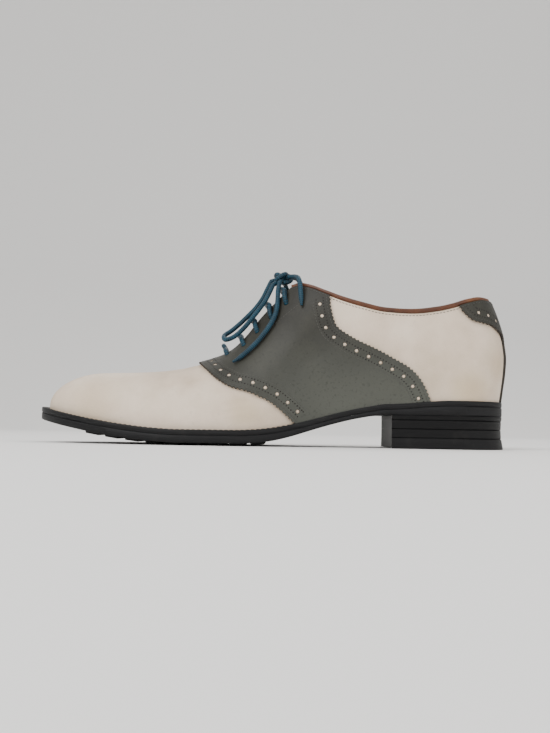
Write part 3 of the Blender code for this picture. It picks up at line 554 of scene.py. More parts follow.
def cordMesh(name, path, radii, closed=False):
    # a round cord with its own map: across is the turn round it, along is millimetres down it
    path = np.asarray(path, float)
    count, sides = len(path), lace["sides"]
    run = np.roll(path, -1, axis=0) - np.roll(path, 1, axis=0)
    if not closed:
        run[0], run[-1] = path[1] - path[0], path[-1] - path[-2]
    run = unit(run)
    side = np.cross(run[0], (0.0, 0.0, 1.0))
    if np.linalg.norm(side) < 0.1:
        side = np.cross(run[0], (1.0, 0.0, 0.0))
    walked = walkedAlong(path) * 1000
    bm = bmesh.new()
    mapped = bm.loops.layers.uv.new("cordMap")
    rings = []
    for i in range(count):
        side = unit(side - run[i] * (side @ run[i]))
        up = np.cross(run[i], side)
        turns = (2 * math.pi * k / sides for k in range(sides))
        rings.append([bm.verts.new(path[i] + (side * math.cos(t) + up * math.sin(t)) * radii[i]) for t in turns])
    for i in range(count if closed else count - 1):
        j = (i + 1) % count
        far = walked[j] if j > i else walked[i] + (walked[i] - walked[i - 1])
        for k in range(sides):
            m = (k + 1) % sides
            face = bm.faces.new((rings[i][k], rings[i][m], rings[j][m], rings[j][k]))
            for loop, (u, v) in zip(face.loops, ((k, walked[i]), (k + 1, walked[i]), (k + 1, far), (k, far))):
                loop[mapped].uv = (u / sides, v)
    for i, way in () if closed else ((0, -1), (-1, 1)):
        point = bm.verts.new(path[i] + way * run[i] * radii[i] * lace["tipBulge"])
        for k in range(sides):
            bm.faces.new(((rings[i][k], rings[i][(k + 1) % sides])[::way]) + (point,))
    bmesh.ops.recalc_face_normals(bm, faces=bm.faces)
    mesh = bpy.data.meshes.new(name)
    bm.to_mesh(mesh)
    bm.free()
    mesh.shade_smooth()
    return placed(name, mesh)


def clouded(tree, noise, places, colours):
    # colours that run into each other over a cloudy noise
    cloudy = add(tree, "ShaderNodeTexNoise", noise)
    return cloudy, add(tree, "ShaderNodeValToRGB", {"Fac": cloudy}, stops=list(zip(places, colours)))


# Waxed cotton, braided round: eight strands show as a fine crossed weave, with a dull sheen from the wax
waxedCord, tree, shader = newMaterial(
    "waxedBraidedCotton", Roughness=0.48, Specular_IOR_Level=0.3, Sheen_Weight=0.04, Sheen_Roughness=0.5)
onCord = add(tree, "ShaderNodeSeparateXYZ", {"Vector": add(tree, "ShaderNodeUVMap", uv_map="cordMap")}).outputs
down = add(tree, "ShaderNodeMath", {0: onCord["Y"], 1: 2 * math.pi / lace["braidPitch"]}, operation="MULTIPLY")
strands = []
for hand in (1, -1):
    leaned = {0: onCord["X"], 1: hand * lace["braidTurns"] * 2 * math.pi, 2: down}
    strands.append(add(tree, "ShaderNodeMath", {0: add(tree, "ShaderNodeMath", leaned, operation="MULTIPLY_ADD")},
                       operation="SINE"))
weave = add(tree, "ShaderNodeMath", dict(enumerate(strands)), operation="MULTIPLY")
weave = add(tree, "ShaderNodeMapRange", {"Value": weave, "From Min": -1.0, "From Max": 1.0})
coords = add(tree, "ShaderNodeTexCoord").outputs["Object"]
# the cord's own teal, darker in the weave's grooves where the bump sinks: painted shade between the strands
weaveColourAndGrooveShade = add(tree, "ShaderNodeValToRGB", {"Fac": weave}, stops=list(zip((0.0, 0.55, 1.0), lace["colours"])))
_, tint = clouded(tree, {"Vector": coords, "Scale": 160.0, "Detail": 3.0}, (0.3, 0.7), ("#8C96A0", "#FFFFFF"))
feed(tree, shader, {
    "Base Color": add(tree, "ShaderNodeMix", {0: 0.8, 6: weaveColourAndGrooveShade, 7: tint}, data_type="RGBA", blend_type="MULTIPLY"),
    "Normal": add(tree, "ShaderNodeBump", {"Height": weave, "Strength": 1.0, "Distance": 0.00022}),
})

knotTurn = np.linspace(0.0, 2 * math.pi, 120, endpoint=False)  # the lace's turns in the knot, as one closed run
wide = 2 + np.cos(3 * knotTurn)
knotPath = np.stack([wide * np.cos(2 * knotTurn), wide * np.sin(2 * knotTurn), np.sin(3 * knotTurn)], axis=1)
knotPath = knotPath * lace["knotSize"] + lace["knotCentre"]
knot = cordMesh("laceKnot", knotPath, np.full(len(knotPath), lace["thick"] / 2), closed=True)
finishPiece(knot, waxedCord, "lace_cord", "lace_knot")

for name, (node, farEnd, route) in bow.items():
    path = smoothRoute(route, 90)
    first, final = ([p + (lace["knotCentre"] - p) * share for share in lace["intoKnot"]] for p in path[[0, -1]])
    path = np.array([*first, *path, *(final[::-1] if farEnd == "knot" else [])])  # held ends run on into the knot
    length = float(walkedAlong(path)[-1])
    radii = np.full(len(path), lace["thick"] / 2)
    if farEnd == "bare":  # the ends are drawn to a waxed point
        toTip = length - np.linspace(0.0, length, len(path))
        radii *= 0.55 + 0.45 * eased(toTip / lace["tipTaper"])
    piece = finishPiece(cordMesh(name, path, radii), waxedCord, "lace_cord", node)
print("bow tied")

walk = np.arange(throatFront, facingTop, -0.00025)
walked = walkedAlong(saddleFace(walk, 1.0, -1, 0.0)[:, [0, 2]])
laceRows = np.interp(lace["first"] + lace["pitch"] * np.arange(lace["rows"]), walked, walk)
above = 2 * shoe["gap"] + lace["thick"] / 2
heights = np.arange(1.0, 0.5, -0.002)
eyelets = []
for number, s in enumerate(laceRows, 1):
    halves = []
    for side in (-1, 1):
        away = np.linalg.norm(saddleFace(s, heights, side, 0.0) - saddleFace(s, 1.0, side, 0.0), axis=1)
        low = float(heights[np.argmax(away > lace["inset"])])
        eyelets.append(saddleFace(s, low, side, 0.0))
        half = [saddleFace(s, low + step, side, lift) for step, lift in lace["barDive"]]
        halves.append(half + [saddleFace(s, low + (1 - low) * share, side, above + lift)
                              for share, lift in lace["barRise"]])
    crown = (halves[0][-1] + halves[1][-1]) / 2 + ridgeNormal(s) * lace["barArch"]
    path = smoothRoute(halves[0] + [crown] + halves[1][::-1], 60)
    bar = cordMesh("laceBar" + str(number), path, np.full(len(path), lace["thick"] / 2))
    finishPiece(bar, waxedCord, "lace_cord", "lace_bar_" + str(number))
print("lace run through the eyelets")


# Small shapes repeated on points

def baked(piece):
    # turns a piece's geometry nodes into its plain mesh
    graph = bpy.context.evaluated_depsgraph_get()
    piece.data = bpy.data.meshes.new_from_object(piece.evaluated_get(graph))
    piece.modifiers.clear()
    return piece


def repeatTree(name, kind, sizes):
    # puts one small shape on every point, turned by the point's own outward and lengthways directions
    tree = bpy.data.node_groups.new(name, "GeometryNodeTree")
    for label, way, sort in (
        ("Points", "INPUT", "Geometry"), ("Length", "INPUT", "Float"), ("Width", "INPUT", "Float"),
        ("Height", "INPUT", "Float"), ("Unevenness", "INPUT", "Float"), ("Finish", "INPUT", "Material"),
        ("Geometry", "OUTPUT", "Geometry"),
    ):
        tree.interface.new_socket(label, in_out=way, socket_type="NodeSocket" + sort)
    given = add(tree, "NodeGroupInput").outputs
    shape = add(tree, kind, sizes)
    size = add(tree, "ShaderNodeCombineXYZ", {"X": given["Length"], "Y": given["Width"], "Z": given["Height"]})
    chance = add(tree, "FunctionNodeRandomValue", {"Seed": 7}, data_type="FLOAT")
    swing = add(tree, "ShaderNodeMath", {0: chance, 1: -0.5}, operation="ADD")
    swing = add(tree, "ShaderNodeMath", {0: swing, 1: given["Unevenness"], 2: 1.0}, operation="MULTIPLY_ADD")
    scaled = add(tree, "ShaderNodeVectorMath", {0: size, "Scale": swing}, operation="SCALE")
    out, run = (add(tree, "GeometryNodeInputNamedAttribute", {"Name": label}, data_type="FLOAT_VECTOR")
                for label in ("outwards", "lengthways"))
    turned = add(tree, "FunctionNodeAxesToRotation", {0: out, 1: run}, primary_axis="Z", secondary_axis="X")
    onPoints = {"Points": given["Points"], "Instance": shape, "Rotation": turned, "Scale": scaled}
    real = add(tree, "GeometryNodeRealizeInstances", {0: add(tree, "GeometryNodeInstanceOnPoints", onPoints)})
    smooth = add(tree, "GeometryNodeSetShadeSmooth", {0: real})
    dressed = add(tree, "GeometryNodeSetMaterial", {"Geometry": smooth, "Material": given["Finish"]})
    add(tree, "NodeGroupOutput", {"Geometry": dressed})
    return tree


beadTree = repeatTree("beadOnPoints", "GeometryNodeMeshUVSphere", {"Segments": 8, "Rings": 5, "Radius": 0.5})
dotTree = repeatTree("dotOnPoints", "GeometryNodeMeshCone", {
    "Vertices": 12, "Radius Top": 0.44, "Radius Bottom": 0.5, "Depth": 1.0})


def repeated(name, tree, places, sizes, finish, slotName):
    # places is a list of (point, outwards, lengthways); sizes are length, width, height and unevenness
    mesh = bpy.data.meshes.new(name)
    points, outwards, lengthways = (np.array(column, float) for column in zip(*places))
    mesh.from_pydata(points.tolist(), [], [])
    for label, values in (("outwards", outwards), ("lengthways", lengthways)):
        mesh.attributes.new(label, "FLOAT_VECTOR", "POINT").data.foreach_set("vector", values.reshape(-1))
    piece = placed(name, mesh)
    modifier = piece.modifiers.new("repeat", "NODES")
    modifier.node_group = tree
    given = dict(zip(("Length", "Width", "Height", "Unevenness"), sizes), Finish=finish)
    for item in tree.interface.items_tree:
        if item.in_out == "INPUT" and item.name in given:
            modifier[item.identifier] = given[item.name]
    return finishPiece(baked(piece), None, slotName)


# The leathers; colours run from dark to light

leatherLook = {
    "white": ("#C2AF98", "#D2C0AB", "#E0CFBC"), "whiteStain": "#BBA47A", "whiteGrain": 0.75, "whiteGrainDeep": 0.035,
    "grey": ("#1F1E19", "#282721", "#33322A"), "greyPaintedSheen": "#555750", "greyGrain": 0.6, "greyGrainDeep": 0.04,
    "stains": (  # place, size, soft edge, strength
        ((0.010, -0.024, 0.036), 0.004, 0.014, 0.55), ((0.026, -0.014, 0.052), 0.003, 0.012, 0.45),
        ((-0.125, -0.040, 0.021), 0.003, 0.012, 0.30), ((-0.215, -0.030, 0.022), 0.004, 0.020, 0.25),
        ((0.008, 0.026, 0.038), 0.004, 0.014, 0.35), ((-0.190, 0.040, 0.020), 0.004, 0.016, 0.30),
    ),
}

# Smooth dyed calf, off-white: fine closed grain with soft handling marks, a satin finish
whiteCalf, tree, shader = newMaterial("offWhiteCalf", Roughness=0.52, Specular_IOR_Level=0.35)
coords = add(tree, "ShaderNodeTexCoord").outputs["Object"]
cloudy, base = clouded(tree, {"Vector": coords, "Scale": 26.0, "Detail": 5.0, "Roughness": 0.6},
                       (0.30, 0.48, 0.68), leatherLook["white"])
base = specked(tree, base, {"Vector": coords, "Scale": 420.0, "Detail": 3.0}, 0.62, 0.80, 0.22, "#9C907F")
for place, size, soft, strength in leatherLook["stains"]:
    patch = spot(tree, coords, place, size, soft)
    broken = add(tree, "ShaderNodeMath", {0: patch, 1: cloudy}, operation="MULTIPLY")
    broken = add(tree, "ShaderNodeMath", {0: broken, 1: strength * 2.0}, operation="MULTIPLY", use_clamp=True)
    base = add(tree, "ShaderNodeMix", {0: broken, 6: base, 7: leatherLook["whiteStain"]}, data_type="RGBA")
roughen = {"Value": cloudy, "From Min": 0.3, "From Max": 0.7, "To Min": 0.45, "To Max": 0.62}
feed(tree, shader, {"Base Color": base, "Roughness": add(tree, "ShaderNodeMapRange", roughen)})
leatherBump(tree, shader, coords, leatherLook["whiteGrain"], leatherLook["whiteGrainDeep"], 9.0, 0.30)

# Smooth dyed calf, olive grey: the dye pooled unevenly, and it is painted paler low down and towards the back as a
# painted sheen
greyCalf, tree, shader = newMaterial(
    "oliveGreyCalf", Roughness=0.50, Specular_IOR_Level=0.25, Coat_Weight=0.03, Coat_Roughness=0.35)
coords = add(tree, "ShaderNodeTexCoord").outputs["Object"]
_, base = clouded(tree, {"Vector": coords, "Scale": 38.0, "Detail": 6.0, "Roughness": 0.62},
                  (0.30, 0.50, 0.72), leatherLook["grey"])
onShoe = add(tree, "ShaderNodeSeparateXYZ", {"Vector": coords}).outputs
# painted sheen: the grey turns paler towards the bottom and the back of the saddle, where the light catches it
low, front = (add(tree, "ShaderNodeMapRange", {
    "Value": onShoe[axis], "From Min": start, "From Max": end, "To Min": least, "To Max": most,
}, interpolation_type="SMOOTHSTEP") for axis, start, end, least, most in (
    ("Z", 0.085, 0.022, 0.0, 0.75), ("X", -0.150, -0.060, 0.25, 1.0)))
paintedSheen = add(tree, "ShaderNodeMath", {0: low, 1: front}, operation="MULTIPLY")
base = add(tree, "ShaderNodeMix", {0: paintedSheen, 6: base, 7: leatherLook["greyPaintedSheen"]}, data_type="RGBA")
base = specked(tree, base, {"Vector": coords, "Scale": 600.0, "Detail": 2.0}, 0.55, 0.75, 0.30, "#1B1A17")
feed(tree, shader, {"Base Color": base})
leatherBump(tree, shader, coords, leatherLook["greyGrain"], leatherLook["greyGrainDeep"], 7.0, 0.25)


def plainLeather(name, colours, roughness, grainMm, grainDeep):
    material, tree, shader = newMaterial(name, Roughness=roughness)
    coords = add(tree, "ShaderNodeTexCoord").outputs["Object"]
    noise = {"Vector": coords, "Scale": 60.0, "Detail": 5.0, "Roughness": 0.6}
    feed(tree, shader, {"Base Color": clouded(tree, noise, (0.32, 0.5, 0.7), colours)[1]})
    leatherBump(tree, shader, coords, grainMm, grainDeep, 6.0, 0.12)
    return material


# Thin kid, folded round the edge and polished by wear
bindingKid = plainLeather("brownKidBinding", ("#321604", "#522808", "#693A10"), 0.48, 0.5, 0.03)
# Unfinished lining leather, matt and a little dark with wear
liningSheep = plainLeather("brownSheepLining", ("#593823", "#6A4328", "#784C31"), 0.68, 0.6, 0.03)
# Tan calf of the tongue, hardly worn
tongueCalf = plainLeather("tanCalfTongue", ("#7A4A28", "#9A6338", "#B07A4B"), 0.58, 0.6, 0.04)
# Brown leather of the sock lining, darker in patches
sockLeather = plainLeather("brownSockLeather", ("#5A3A24", "#7B5235", "#946847"), 0.62, 0.5, 0.03)
# Waxed linen sewing threads, the painted shade inside an awl's prick (a flat near-black dot), and the raw cut edge of
# dyed leather
darkThread = newMaterial("waxedGreyThread", Roughness=0.6, Base_Color="#3B3A35")[0]
blackThread = newMaterial("waxedBlackThread", Roughness=0.5, Base_Color="#26211D")[0]
prickPaintedShade = newMaterial("prickHolePaintedShade", Roughness=0.9, Base_Color="#140F0C")[0]
cutLeather = newMaterial("gimpedCutEdge", Roughness=0.85, Base_Color="#3B3631")[0]
print("leathers mixed")


# The upper: white calf outside, brown lining inside

upperSize = {"stations": 210, "rows": 56, "skin": 0.0010, "liningGap": 0.00005}

turns = np.concatenate([np.linspace(0.0, 1.0, upperSize["stations"]), turnOf(np.array([facingTop, throatFront]))])
turns = np.unique(turns)[:, None]
shares = np.linspace(0.0, 1.0, upperSize["rows"] + 1)
sheets = [leather(turns, shares * topShare(turns, side), side, 0.0) for side in (-1, 1)]
outer, normals, faces = joined(sheets)
finishPiece(shell("whiteUpper", outer, normals, faces, upperSize["skin"]), whiteCalf, "white_leather", "upper")
depth = upperSize["skin"] + upperSize["liningGap"]
lining = shell("brownLining", outer - normals * depth, normals, faces, shoe["wall"] - depth)
finishPiece(lining, liningSheep, "brown_leather")
print("upper lasted")


# Edges, holes and seams of the grey pieces

gimp = {"pitch": 0.0027, "deep": 0.0010, "holeRadius": 0.00125, "eyeletRadius": 0.00165}
seamPitch = {"edge": 0.0021, "inner": 0.0021, "facing": 0.0021, "collar": 0.0021, "welt": 0.0032,
             "prick": 0.0019, "holes": 0.0081}
seams = {key: [] for key in seamPitch}


def evenShares(turnAt, side, count):
    # shares up the upper that stand evenly along a sloping edge, and the edge's length
    fine = np.linspace(0.0, 1.0, 600)
    turn = turnAt(fine)
    walked = walkedAlong(leather(turn, fine * topShare(turn, side), side, saddleLift)[0])
    return np.interp(np.linspace(0.0, walked[-1], count), walked, fine), walked[-1]


def inwardFrom(edge, inside, normals):
    # the way in from an edge, square to it and along the leather
    way = inside - edge
    for part in (unit(np.gradient(edge, axis=0)), normals):
        way = way - part * (way * part).sum(axis=1, keepdims=True)
    return unit(way)


def teeth(count, length, shown):
    # how far each point of a gimped edge stands out: an even row of teeth
    period = max(4, round(gimp["pitch"] / (length / count)))
    wave = np.abs(np.arange(count) % period / period - 0.5) * 2 - 0.5
    wave[[0, -1]] = 0.0
    return (wave * shown * gimp["deep"])[:, None]


def sew(key, points, normals, start, stop):
    # adds even places on a line to a seam: (point, outwards, lengthways)
    walked = walkedAlong(points)
    at = np.arange(start, walked[-1] - stop, seamPitch[key])
    ahead, behind = (sampled(np.clip(at + step, 0.0, walked[-1]), walked, points) for step in (0.0004, -0.0004))
    seams[key] += zip(sampled(at, walked, points), unit(sampled(at, walked, normals)), unit(ahead - behind))


def sewInside(rows, edge, inward, flat, side):
    # seams that run some way in from an edge, laid back on the leather
    for key, inset, start, stop in rows:
        points, normals = [], []
        for p in edge + inward * inset:
            point, normal, _, _ = flat.find_nearest(Vector(p))
            outside = normal.y * side > 0 or (abs(normal.y) < 0.3 and normal.z + normal.x > 0)
            points.append(point)
            normals.append(normal if outside else -normal)
        sew(key, np.array(points), np.array(normals), start, stop)


def edged(piece, faces):
    # the raw edge of a sheet shows its own colour; walls are the last faces of a shell
    piece.data.materials.append(cutLeather)
    wall = np.arange(len(piece.data.polygons)) >= 2 * len(faces)
    piece.data.polygons.foreach_set("material_index", wall.astype(np.int32))


# The saddle: two wings joined in front of the throat, gimped and pierced along both slopes

saddleSize = {
    "columns": 108, "rows": 156,  # seams: kind, way in from the edge, start and stop along it
    "slopeSeams": (("edge", 0.0019, 0.001, 0.001), ("inner", 0.0104, 0.002, 0.003), ("prick", 0.0041, 0.001, 0.001),
                   ("prick", 0.0086, 0.001, 0.002), ("holes", 0.0063, 0.0035, 0.003)),
    "throatSeams": (("facing", 0.0018, 0.001, 0.001), ("facing", 0.0150, 0.001, 0.001)),
}
firstTop, finalTop = (saddleEdges[name][-1] * shoe["length"] for name in ("rear", "front"))


def columnAt(s):
    return (s - firstTop) / (finalTop - firstTop)


def slopeAt(name, share):
    return along(saddleEdges, name, share) * shoe["length"]


columns = np.concatenate([np.linspace(0.0, 1.0, saddleSize["columns"]), columnAt(np.array([facingTop, throatFront]))])
columns = np.unique(columns)
across = columns[:, None]
throat = (columns > columnAt(facingTop + 0.002)) & (columns < columnAt(throatFront - 0.002))
rows = saddleSize["rows"] + 1
sheets = []
for side in (-1, 1):
    (rear, rearLength), (front, frontLength) = (
        evenShares(lambda f: turnOf(slopeAt(name, f)), side, rows) for name in ("rear", "front"))
    rearAt = slopeAt("rear", rear)
    turn = turnOf(rearAt + (slopeAt("front", front) - rearAt) * across)
    share = rear * (1 - across) + front * across
    place, normal = leather(turn, share * topShare(turn, side), side, saddleLift)
    flat = BVHTree.FromPolygons(place.reshape(-1, 3).tolist(), gridFaces(len(columns), rows).tolist())
    for column, beside, length in ((0, 2, rearLength), (-1, -3, frontLength)):
        edge = place[column].copy()
        way = inwardFrom(edge, place[beside], normal[column])
        sewInside(saddleSize["slopeSeams"], edge, way, flat, side)
        place[column] = edge - way * teeth(rows, length, 1.0)
    way = inwardFrom(place[throat, -1], place[throat, -4], normal[throat, -1])
    sewInside(saddleSize["throatSeams"], place[throat, -1], way, flat, side)
    sheets.append((place, normal))
outer, normals, faces = joined(sheets)
holes = [(p, gimp["holeRadius"]) for p, _, _ in seams["holes"]] + [(p, gimp["eyeletRadius"]) for p in eyelets]
outer, faces = punched(outer, faces, holes)
saddle = finishPiece(shell("greySaddle", outer, normals, faces, shoe["overlay"]), greyCalf, "grey_leather", "saddle")
edged(saddle, faces)
print("saddle cut, gimped and pierced", len(saddle.data.polygons))


# The heel tab with its narrow back strip

tabSize = {
    "across": 38, "rows": 156, "teethFrom": 0.61,
    "edgeSeams": (("edge", 0.0016, 0.001, 0.001),),
    "upperSeams": (("holes", 0.0058, 0.0120, 0.004), ("prick", 0.0036, 0.006, 0.001), ("prick", 0.0082, 0.016, 0.003)),
}


def tabTurn(share):
    return along(tabEdge, "turn", share)


rows = tabSize["rows"] + 1
across = np.linspace(-1.0, 1.0, 2 * tabSize["across"] + 1)[:, None]
share, tabLength = evenShares(tabTurn, -1, rows)
side = np.where(across < 0, -1.0, 1.0)
turn = tabTurn(share) * np.abs(across)
place, normal = leather(turn, share * topShare(turn, side), side, saddleLift)
faces = gridFaces(len(across), rows)
flat = BVHTree.FromPolygons(place.reshape(-1, 3).tolist(), faces.tolist())
high = share > tabSize["teethFrom"] + 0.02
for column, beside, sign in ((0, 2, -1), (-1, -3, 1)):
    edge = place[column].copy()
    way = inwardFrom(edge, place[beside], normal[column])
    sewInside(tabSize["edgeSeams"], edge, way, flat, sign)
    sewInside(tabSize["upperSeams"], edge[high], way[high], flat, sign)
    place[column] = edge - way * teeth(rows, tabLength, eased((share - tabSize["teethFrom"]) / 0.04))
outer, normals, faces = merged(place.reshape(-1, 3), normal.reshape(-1, 3), faces)
outer, faces = punched(outer, faces, [(p, gimp["holeRadius"]) for p, _, _ in seams["holes"] if p[0] > 0.0])
tab = finishPiece(shell("heelTab", outer, normals, faces, shoe["overlay"]), greyCalf, "grey_leather", "heel_tab")
edged(tab, faces)
print("heel tab cut")


# The binding folded over the collar's edge, and the seam just under it

bindingSize = {"sections": 150, "sides": 18, "squareness": 0.8, "reach": 0.02, "seamBelow": 0.0013, "clear": 0.00005}

turn = np.linspace(0.0, turnOf(facingTop), bindingSize["sections"])
turn, side = np.concatenate([turn[::-1], turn[1:]]), np.repeat([-1.0, 1.0], [len(turn), len(turn) - 1])
v = topShare(turn, side)
edge, out = last(turn, v, side), outward(turn, v, side)
upwards = edge - last(turn, v - bindingSize["reach"], side)
rise = unit(upwards)
centre = edge - out * (shoe["wall"] - shoe["overlay"]) / 2 + rise * (shoe["overlayGap"] + shoe["bindingHeight"] / 2)
angles = np.linspace(0.0, 2 * math.pi, bindingSize["sides"], endpoint=False)
wide, tall = (np.sign(wave) * np.abs(wave) ** bindingSize["squareness"] * size / 2 for wave, size in (
    (np.cos(angles), shoe["bindingWidth"]), (np.sin(angles), shoe["bindingHeight"])))
down = 1 + 2 * (shoe["overlayGap"] - bindingSize["clear"]) / shoe["bindingHeight"]
tall = np.where(tall < 0, tall * down, tall)  # it folds down onto the leather's edge
rings = centre[:, None, :] + out[:, None, :] * wide[:, None] + rise[:, None, :] * tall[:, None]
looped("collarBinding", rings, bindingKid, "brown_leather", "collar_binding")
step = bindingSize["seamBelow"] / (np.linalg.norm(upwards, axis=1) / bindingSize["reach"])
overlaid = (sOf(turn) > firstTop - 0.001) | (turn < tabEdge["turn"][-1] + 0.004)
rim = leather(turn, v - step, side, np.where(overlaid, saddleLift, 0.0) + bindingSize["clear"])
sew("collar", *rim, 0.002, 0.002)
print("collar bound")


# The tongue under both facings

tongueSize = {"front": 0.012, "back": 0.005, "clear": 0.0012, "thick": 0.0018, "arch": 0.60, "corner": 0.20,
              "sections": 60, "across": 33, "heights": (0.72, 0.80, 0.88, 0.95)}

heights, lift = np.array(tongueSize["heights"]), -shoe["wall"] - tongueSize["clear"]
sheet = []
for s in np.linspace(throatFront + tongueSize["front"], facingTop - tongueSize["back"], tongueSize["sections"]):
    turn = turnOf(s)
    left, right = (last(turn, heights, k) + outward(turn, heights, k) * lift for k in (-1, 1))
    edges = [last(turn, 1.0, k) for k in (-1, 1)]
    arch = tongueSize["arch"] * abs(edges[1][1] - edges[0][1]) / 2 * eased((s - facingTop) / 0.02)
    crown = (edges[0] + edges[1]) / 2 + ridgeNormal(s) * (lift + arch)
    sheet.append(smoothRoute([*left, crown, *right[::-1]], tongueSize["across"]))
sheet, steps = np.array(sheet), np.arange(len(sheet))
corner = np.abs(np.linspace(-1.0, 1.0, tongueSize["across"])) ** 4 * tongueSize["corner"]  # rounded at its upper end
sheet = np.stack([sampled(steps * (1 - cut), steps, sheet[:, k]) for k, cut in enumerate(corner)], axis=1)
normals = unit(np.cross(np.gradient(sheet, axis=0), np.gradient(sheet, axis=1)))
normals *= np.sign(normals[len(sheet) // 2, len(corner) // 2, 2])
faces = gridFaces(len(sheet), len(corner)).tolist()
tongue = shell("tanTongue", sheet.reshape(-1, 3), normals.reshape(-1, 3), faces, tongueSize["thick"])
finishPiece(tongue, tongueCalf, "tan_leather", "tongue")
print("tongue laid in")


# The sole: sock lining, welt, outsole with its tread bars, and the built heel

def blackRubber(name, dark, light, streakHigh, roughness):
    # moulded rubber, matt to satin, with fine lengthways streaks left by trimming and a little dust
    material, tree, shader = newMaterial(name, Roughness=roughness, Specular_IOR_Level=0.2)
    coords = add(tree, "ShaderNodeTexCoord").outputs["Object"]
    stretched = add(tree, "ShaderNodeMapping", {"Vector": coords, "Scale": (60.0, 60.0, streakHigh)})
    streak, base = clouded(tree, {"Vector": stretched, "Scale": 1.0, "Detail": 5.0, "Roughness": 0.6},
                           (0.35, 0.65), (dark, light))
    dust = {"Vector": coords, "Scale": 90.0, "Detail": 6.0, "Roughness": 0.65}
    feed(tree, shader, {
        "Base Color": specked(tree, base, dust, 0.56, 0.78, 0.22, "#3A3835"),
        "Normal": add(tree, "ShaderNodeBump", {"Height": streak, "Strength": 1.0, "Distance": 0.00012}),
    })
    return material


bandRubber = blackRubber("blackTrimmedSoleRubber", "#0F0F10", "#1A1A1B", 1500.0, 0.55)
# the heel's rubber is much darker than the band's: partly its own deeper black, partly painted shade for the shaded
# heel breast
heelRubberWithPaintedShade = blackRubber("blackTrimmedHeelRubberPaintedShade", "#040405", "#0B0B0C", 2400.0, 0.52)
soleSize = {"stations": 150, "round": 0.0006, "touch": 0.00002, "sock": 0.0030, "sockClear": 0.0007, "ledge": 0.0019,
            "seamFrom": 0.092, "lugPitch": 0.0125, "lugLength": 0.0090, "lugWall": 0.0006, "treadShare": 0.88,
            "lugFrom": 0.51, "lugTo": 0.91}


def noInset(s):
    return 0.0 * s


def seat(s):
    # where the upper and the sock lining stand on the welt
    return feather(s) + shoe["gap"]


def outlineLoop(places, inset, heelInset, toeInset, high):
    # once round the shoe: up the outer side, back down the inner one
    s = heelInset + (shoe["length"] - heelInset - toeInset) * places
    outer, inner = (np.stack([xAt(s), middle(s) + side * halfWidth(s, side, inset(s), heelInset, toeInset), high(s)],
                             axis=1) for side in (-1, 1))
    return np.concatenate([outer, inner[::-1]])


def plate(name, node, places, insets, low, top, material, slotName, shares=(), drops=()):
    # a plate between two heights; insets are those at the sides, the heel and the toe, shares are rows of points
    # across its underside, which stand lower by the drops inside the tread
    r, (inset, heelInset, toeInset) = soleSize["round"], insets
    rings = []
    for height, way, parts in ((low, 1, (0.0, 0.3, 1.0)), (top, -1, (1.0, 0.3, 0.0))):
        for part in parts:  # the lower edge, then the upper one, each a little rounded
            more = r * (1 - part) ** 1.6
            rings.append(outlineLoop(places, lambda s: inset(s) + more, heelInset + more, toeInset + more,
                                     lambda s: height(s) + way * r * part ** 1.6))
    around, n = len(rings[0]), len(places)
    points, faces = list(np.concatenate(rings)), ringFaces(len(rings), around).tolist()
    final = (len(rings) - 1) * around
    faces += [(final + k, final + k + 1, final + around - 2 - k, final + around - 1 - k) for k in range(n - 1)]
    lines = [range(n)]
    for share in shares:
        lines.append(range(len(points), len(points) + n))
        for k in range(n):
            left, right = points[k], points[around - 1 - k]
            centre = float(middle(shoe["heelLength"] / 2 - left[0]))
            y = centre + abs(share) * ((left[1] if share < 0 else right[1]) - centre)
            drop = drops[k] if abs(share) < soleSize["treadShare"] else 0.0
            points.append(np.array([left[0], y, left[2] - drop]))
    lines.append(range(around - 1, around - 1 - n, -1))
    for a, b in zip(lines, lines[1:]):
        faces += [(a[k], b[k], b[k + 1], a[k + 1]) for k in range(n - 1)]
    finishPiece(closedPiece(name, points, faces, 35, 1e-7), material, slotName, node)


even = (1 - np.cos(np.pi * np.linspace(0.0, 1.0, soleSize["stations"]))) / 2
clear, touch = shoe["wall"] + soleSize["sockClear"], soleSize["touch"]
insets = (lambda s: margin(s) + clear, shoe["marginHeel"] + clear, shoe["marginFore"] + clear)
plate("sockLining", "insole", even, insets, seat, lambda s: seat(s) + soleSize["sock"], sockLeather,
      "brown_leather")
plate("weltStrip", "welt", even, (noInset, 0.0, 0.0), lambda s: feather(s) - shoe["welt"], lambda s: seat(s) - touch,
      bandRubber, "black_rubber")

# the welt's stitches stand on the ledge between the upper and the edge, from the waist round the toe
ledge = outlineLoop(even, lambda s: noInset(s) + soleSize["ledge"], 0.0, soleSize["ledge"], seat)
ledge = ledge[xAt(ledge[:, 0]) > soleSize["seamFrom"]]
sew("welt", ledge, np.tile([0.0, 0.0, 1.0], (len(ledge), 1)), 0.002, 0.002)

bars, start = [], shoe["length"] * soleSize["lugFrom"]
while start + soleSize["lugLength"] <= shoe["length"] * soleSize["lugTo"]:
    bars.append((start, start + soleSize["lugLength"]))
    start += soleSize["lugPitch"]
wall, stops = soleSize["lugWall"], {}
for bar, end in bars:
    stops.update({bar: 0.0, bar + wall: shoe["lug"], end - wall: shoe["lug"], end: 0.0})
for t in even * shoe["length"]:
    if not any(bar - 0.0004 < t < end + 0.0002 for bar, end in bars):
        stops[t] = 0.0
    elif any(bar + 2 * wall < t < end - 2 * wall for bar, end in bars):
        stops[t] = shoe["lug"]
treadAt = np.array(sorted(stops))
edge = soleSize["treadShare"]
plate("lugSole", "outsole", treadAt / shoe["length"], (noInset, 0.0, 0.0), underside,
      lambda s: feather(s) - shoe["welt"] - touch, bandRubber, "black_rubber",
      (-edge - 0.008, -edge + 0.001, 0.0, edge - 0.001, edge + 0.008), [stops[t] for t in treadAt])

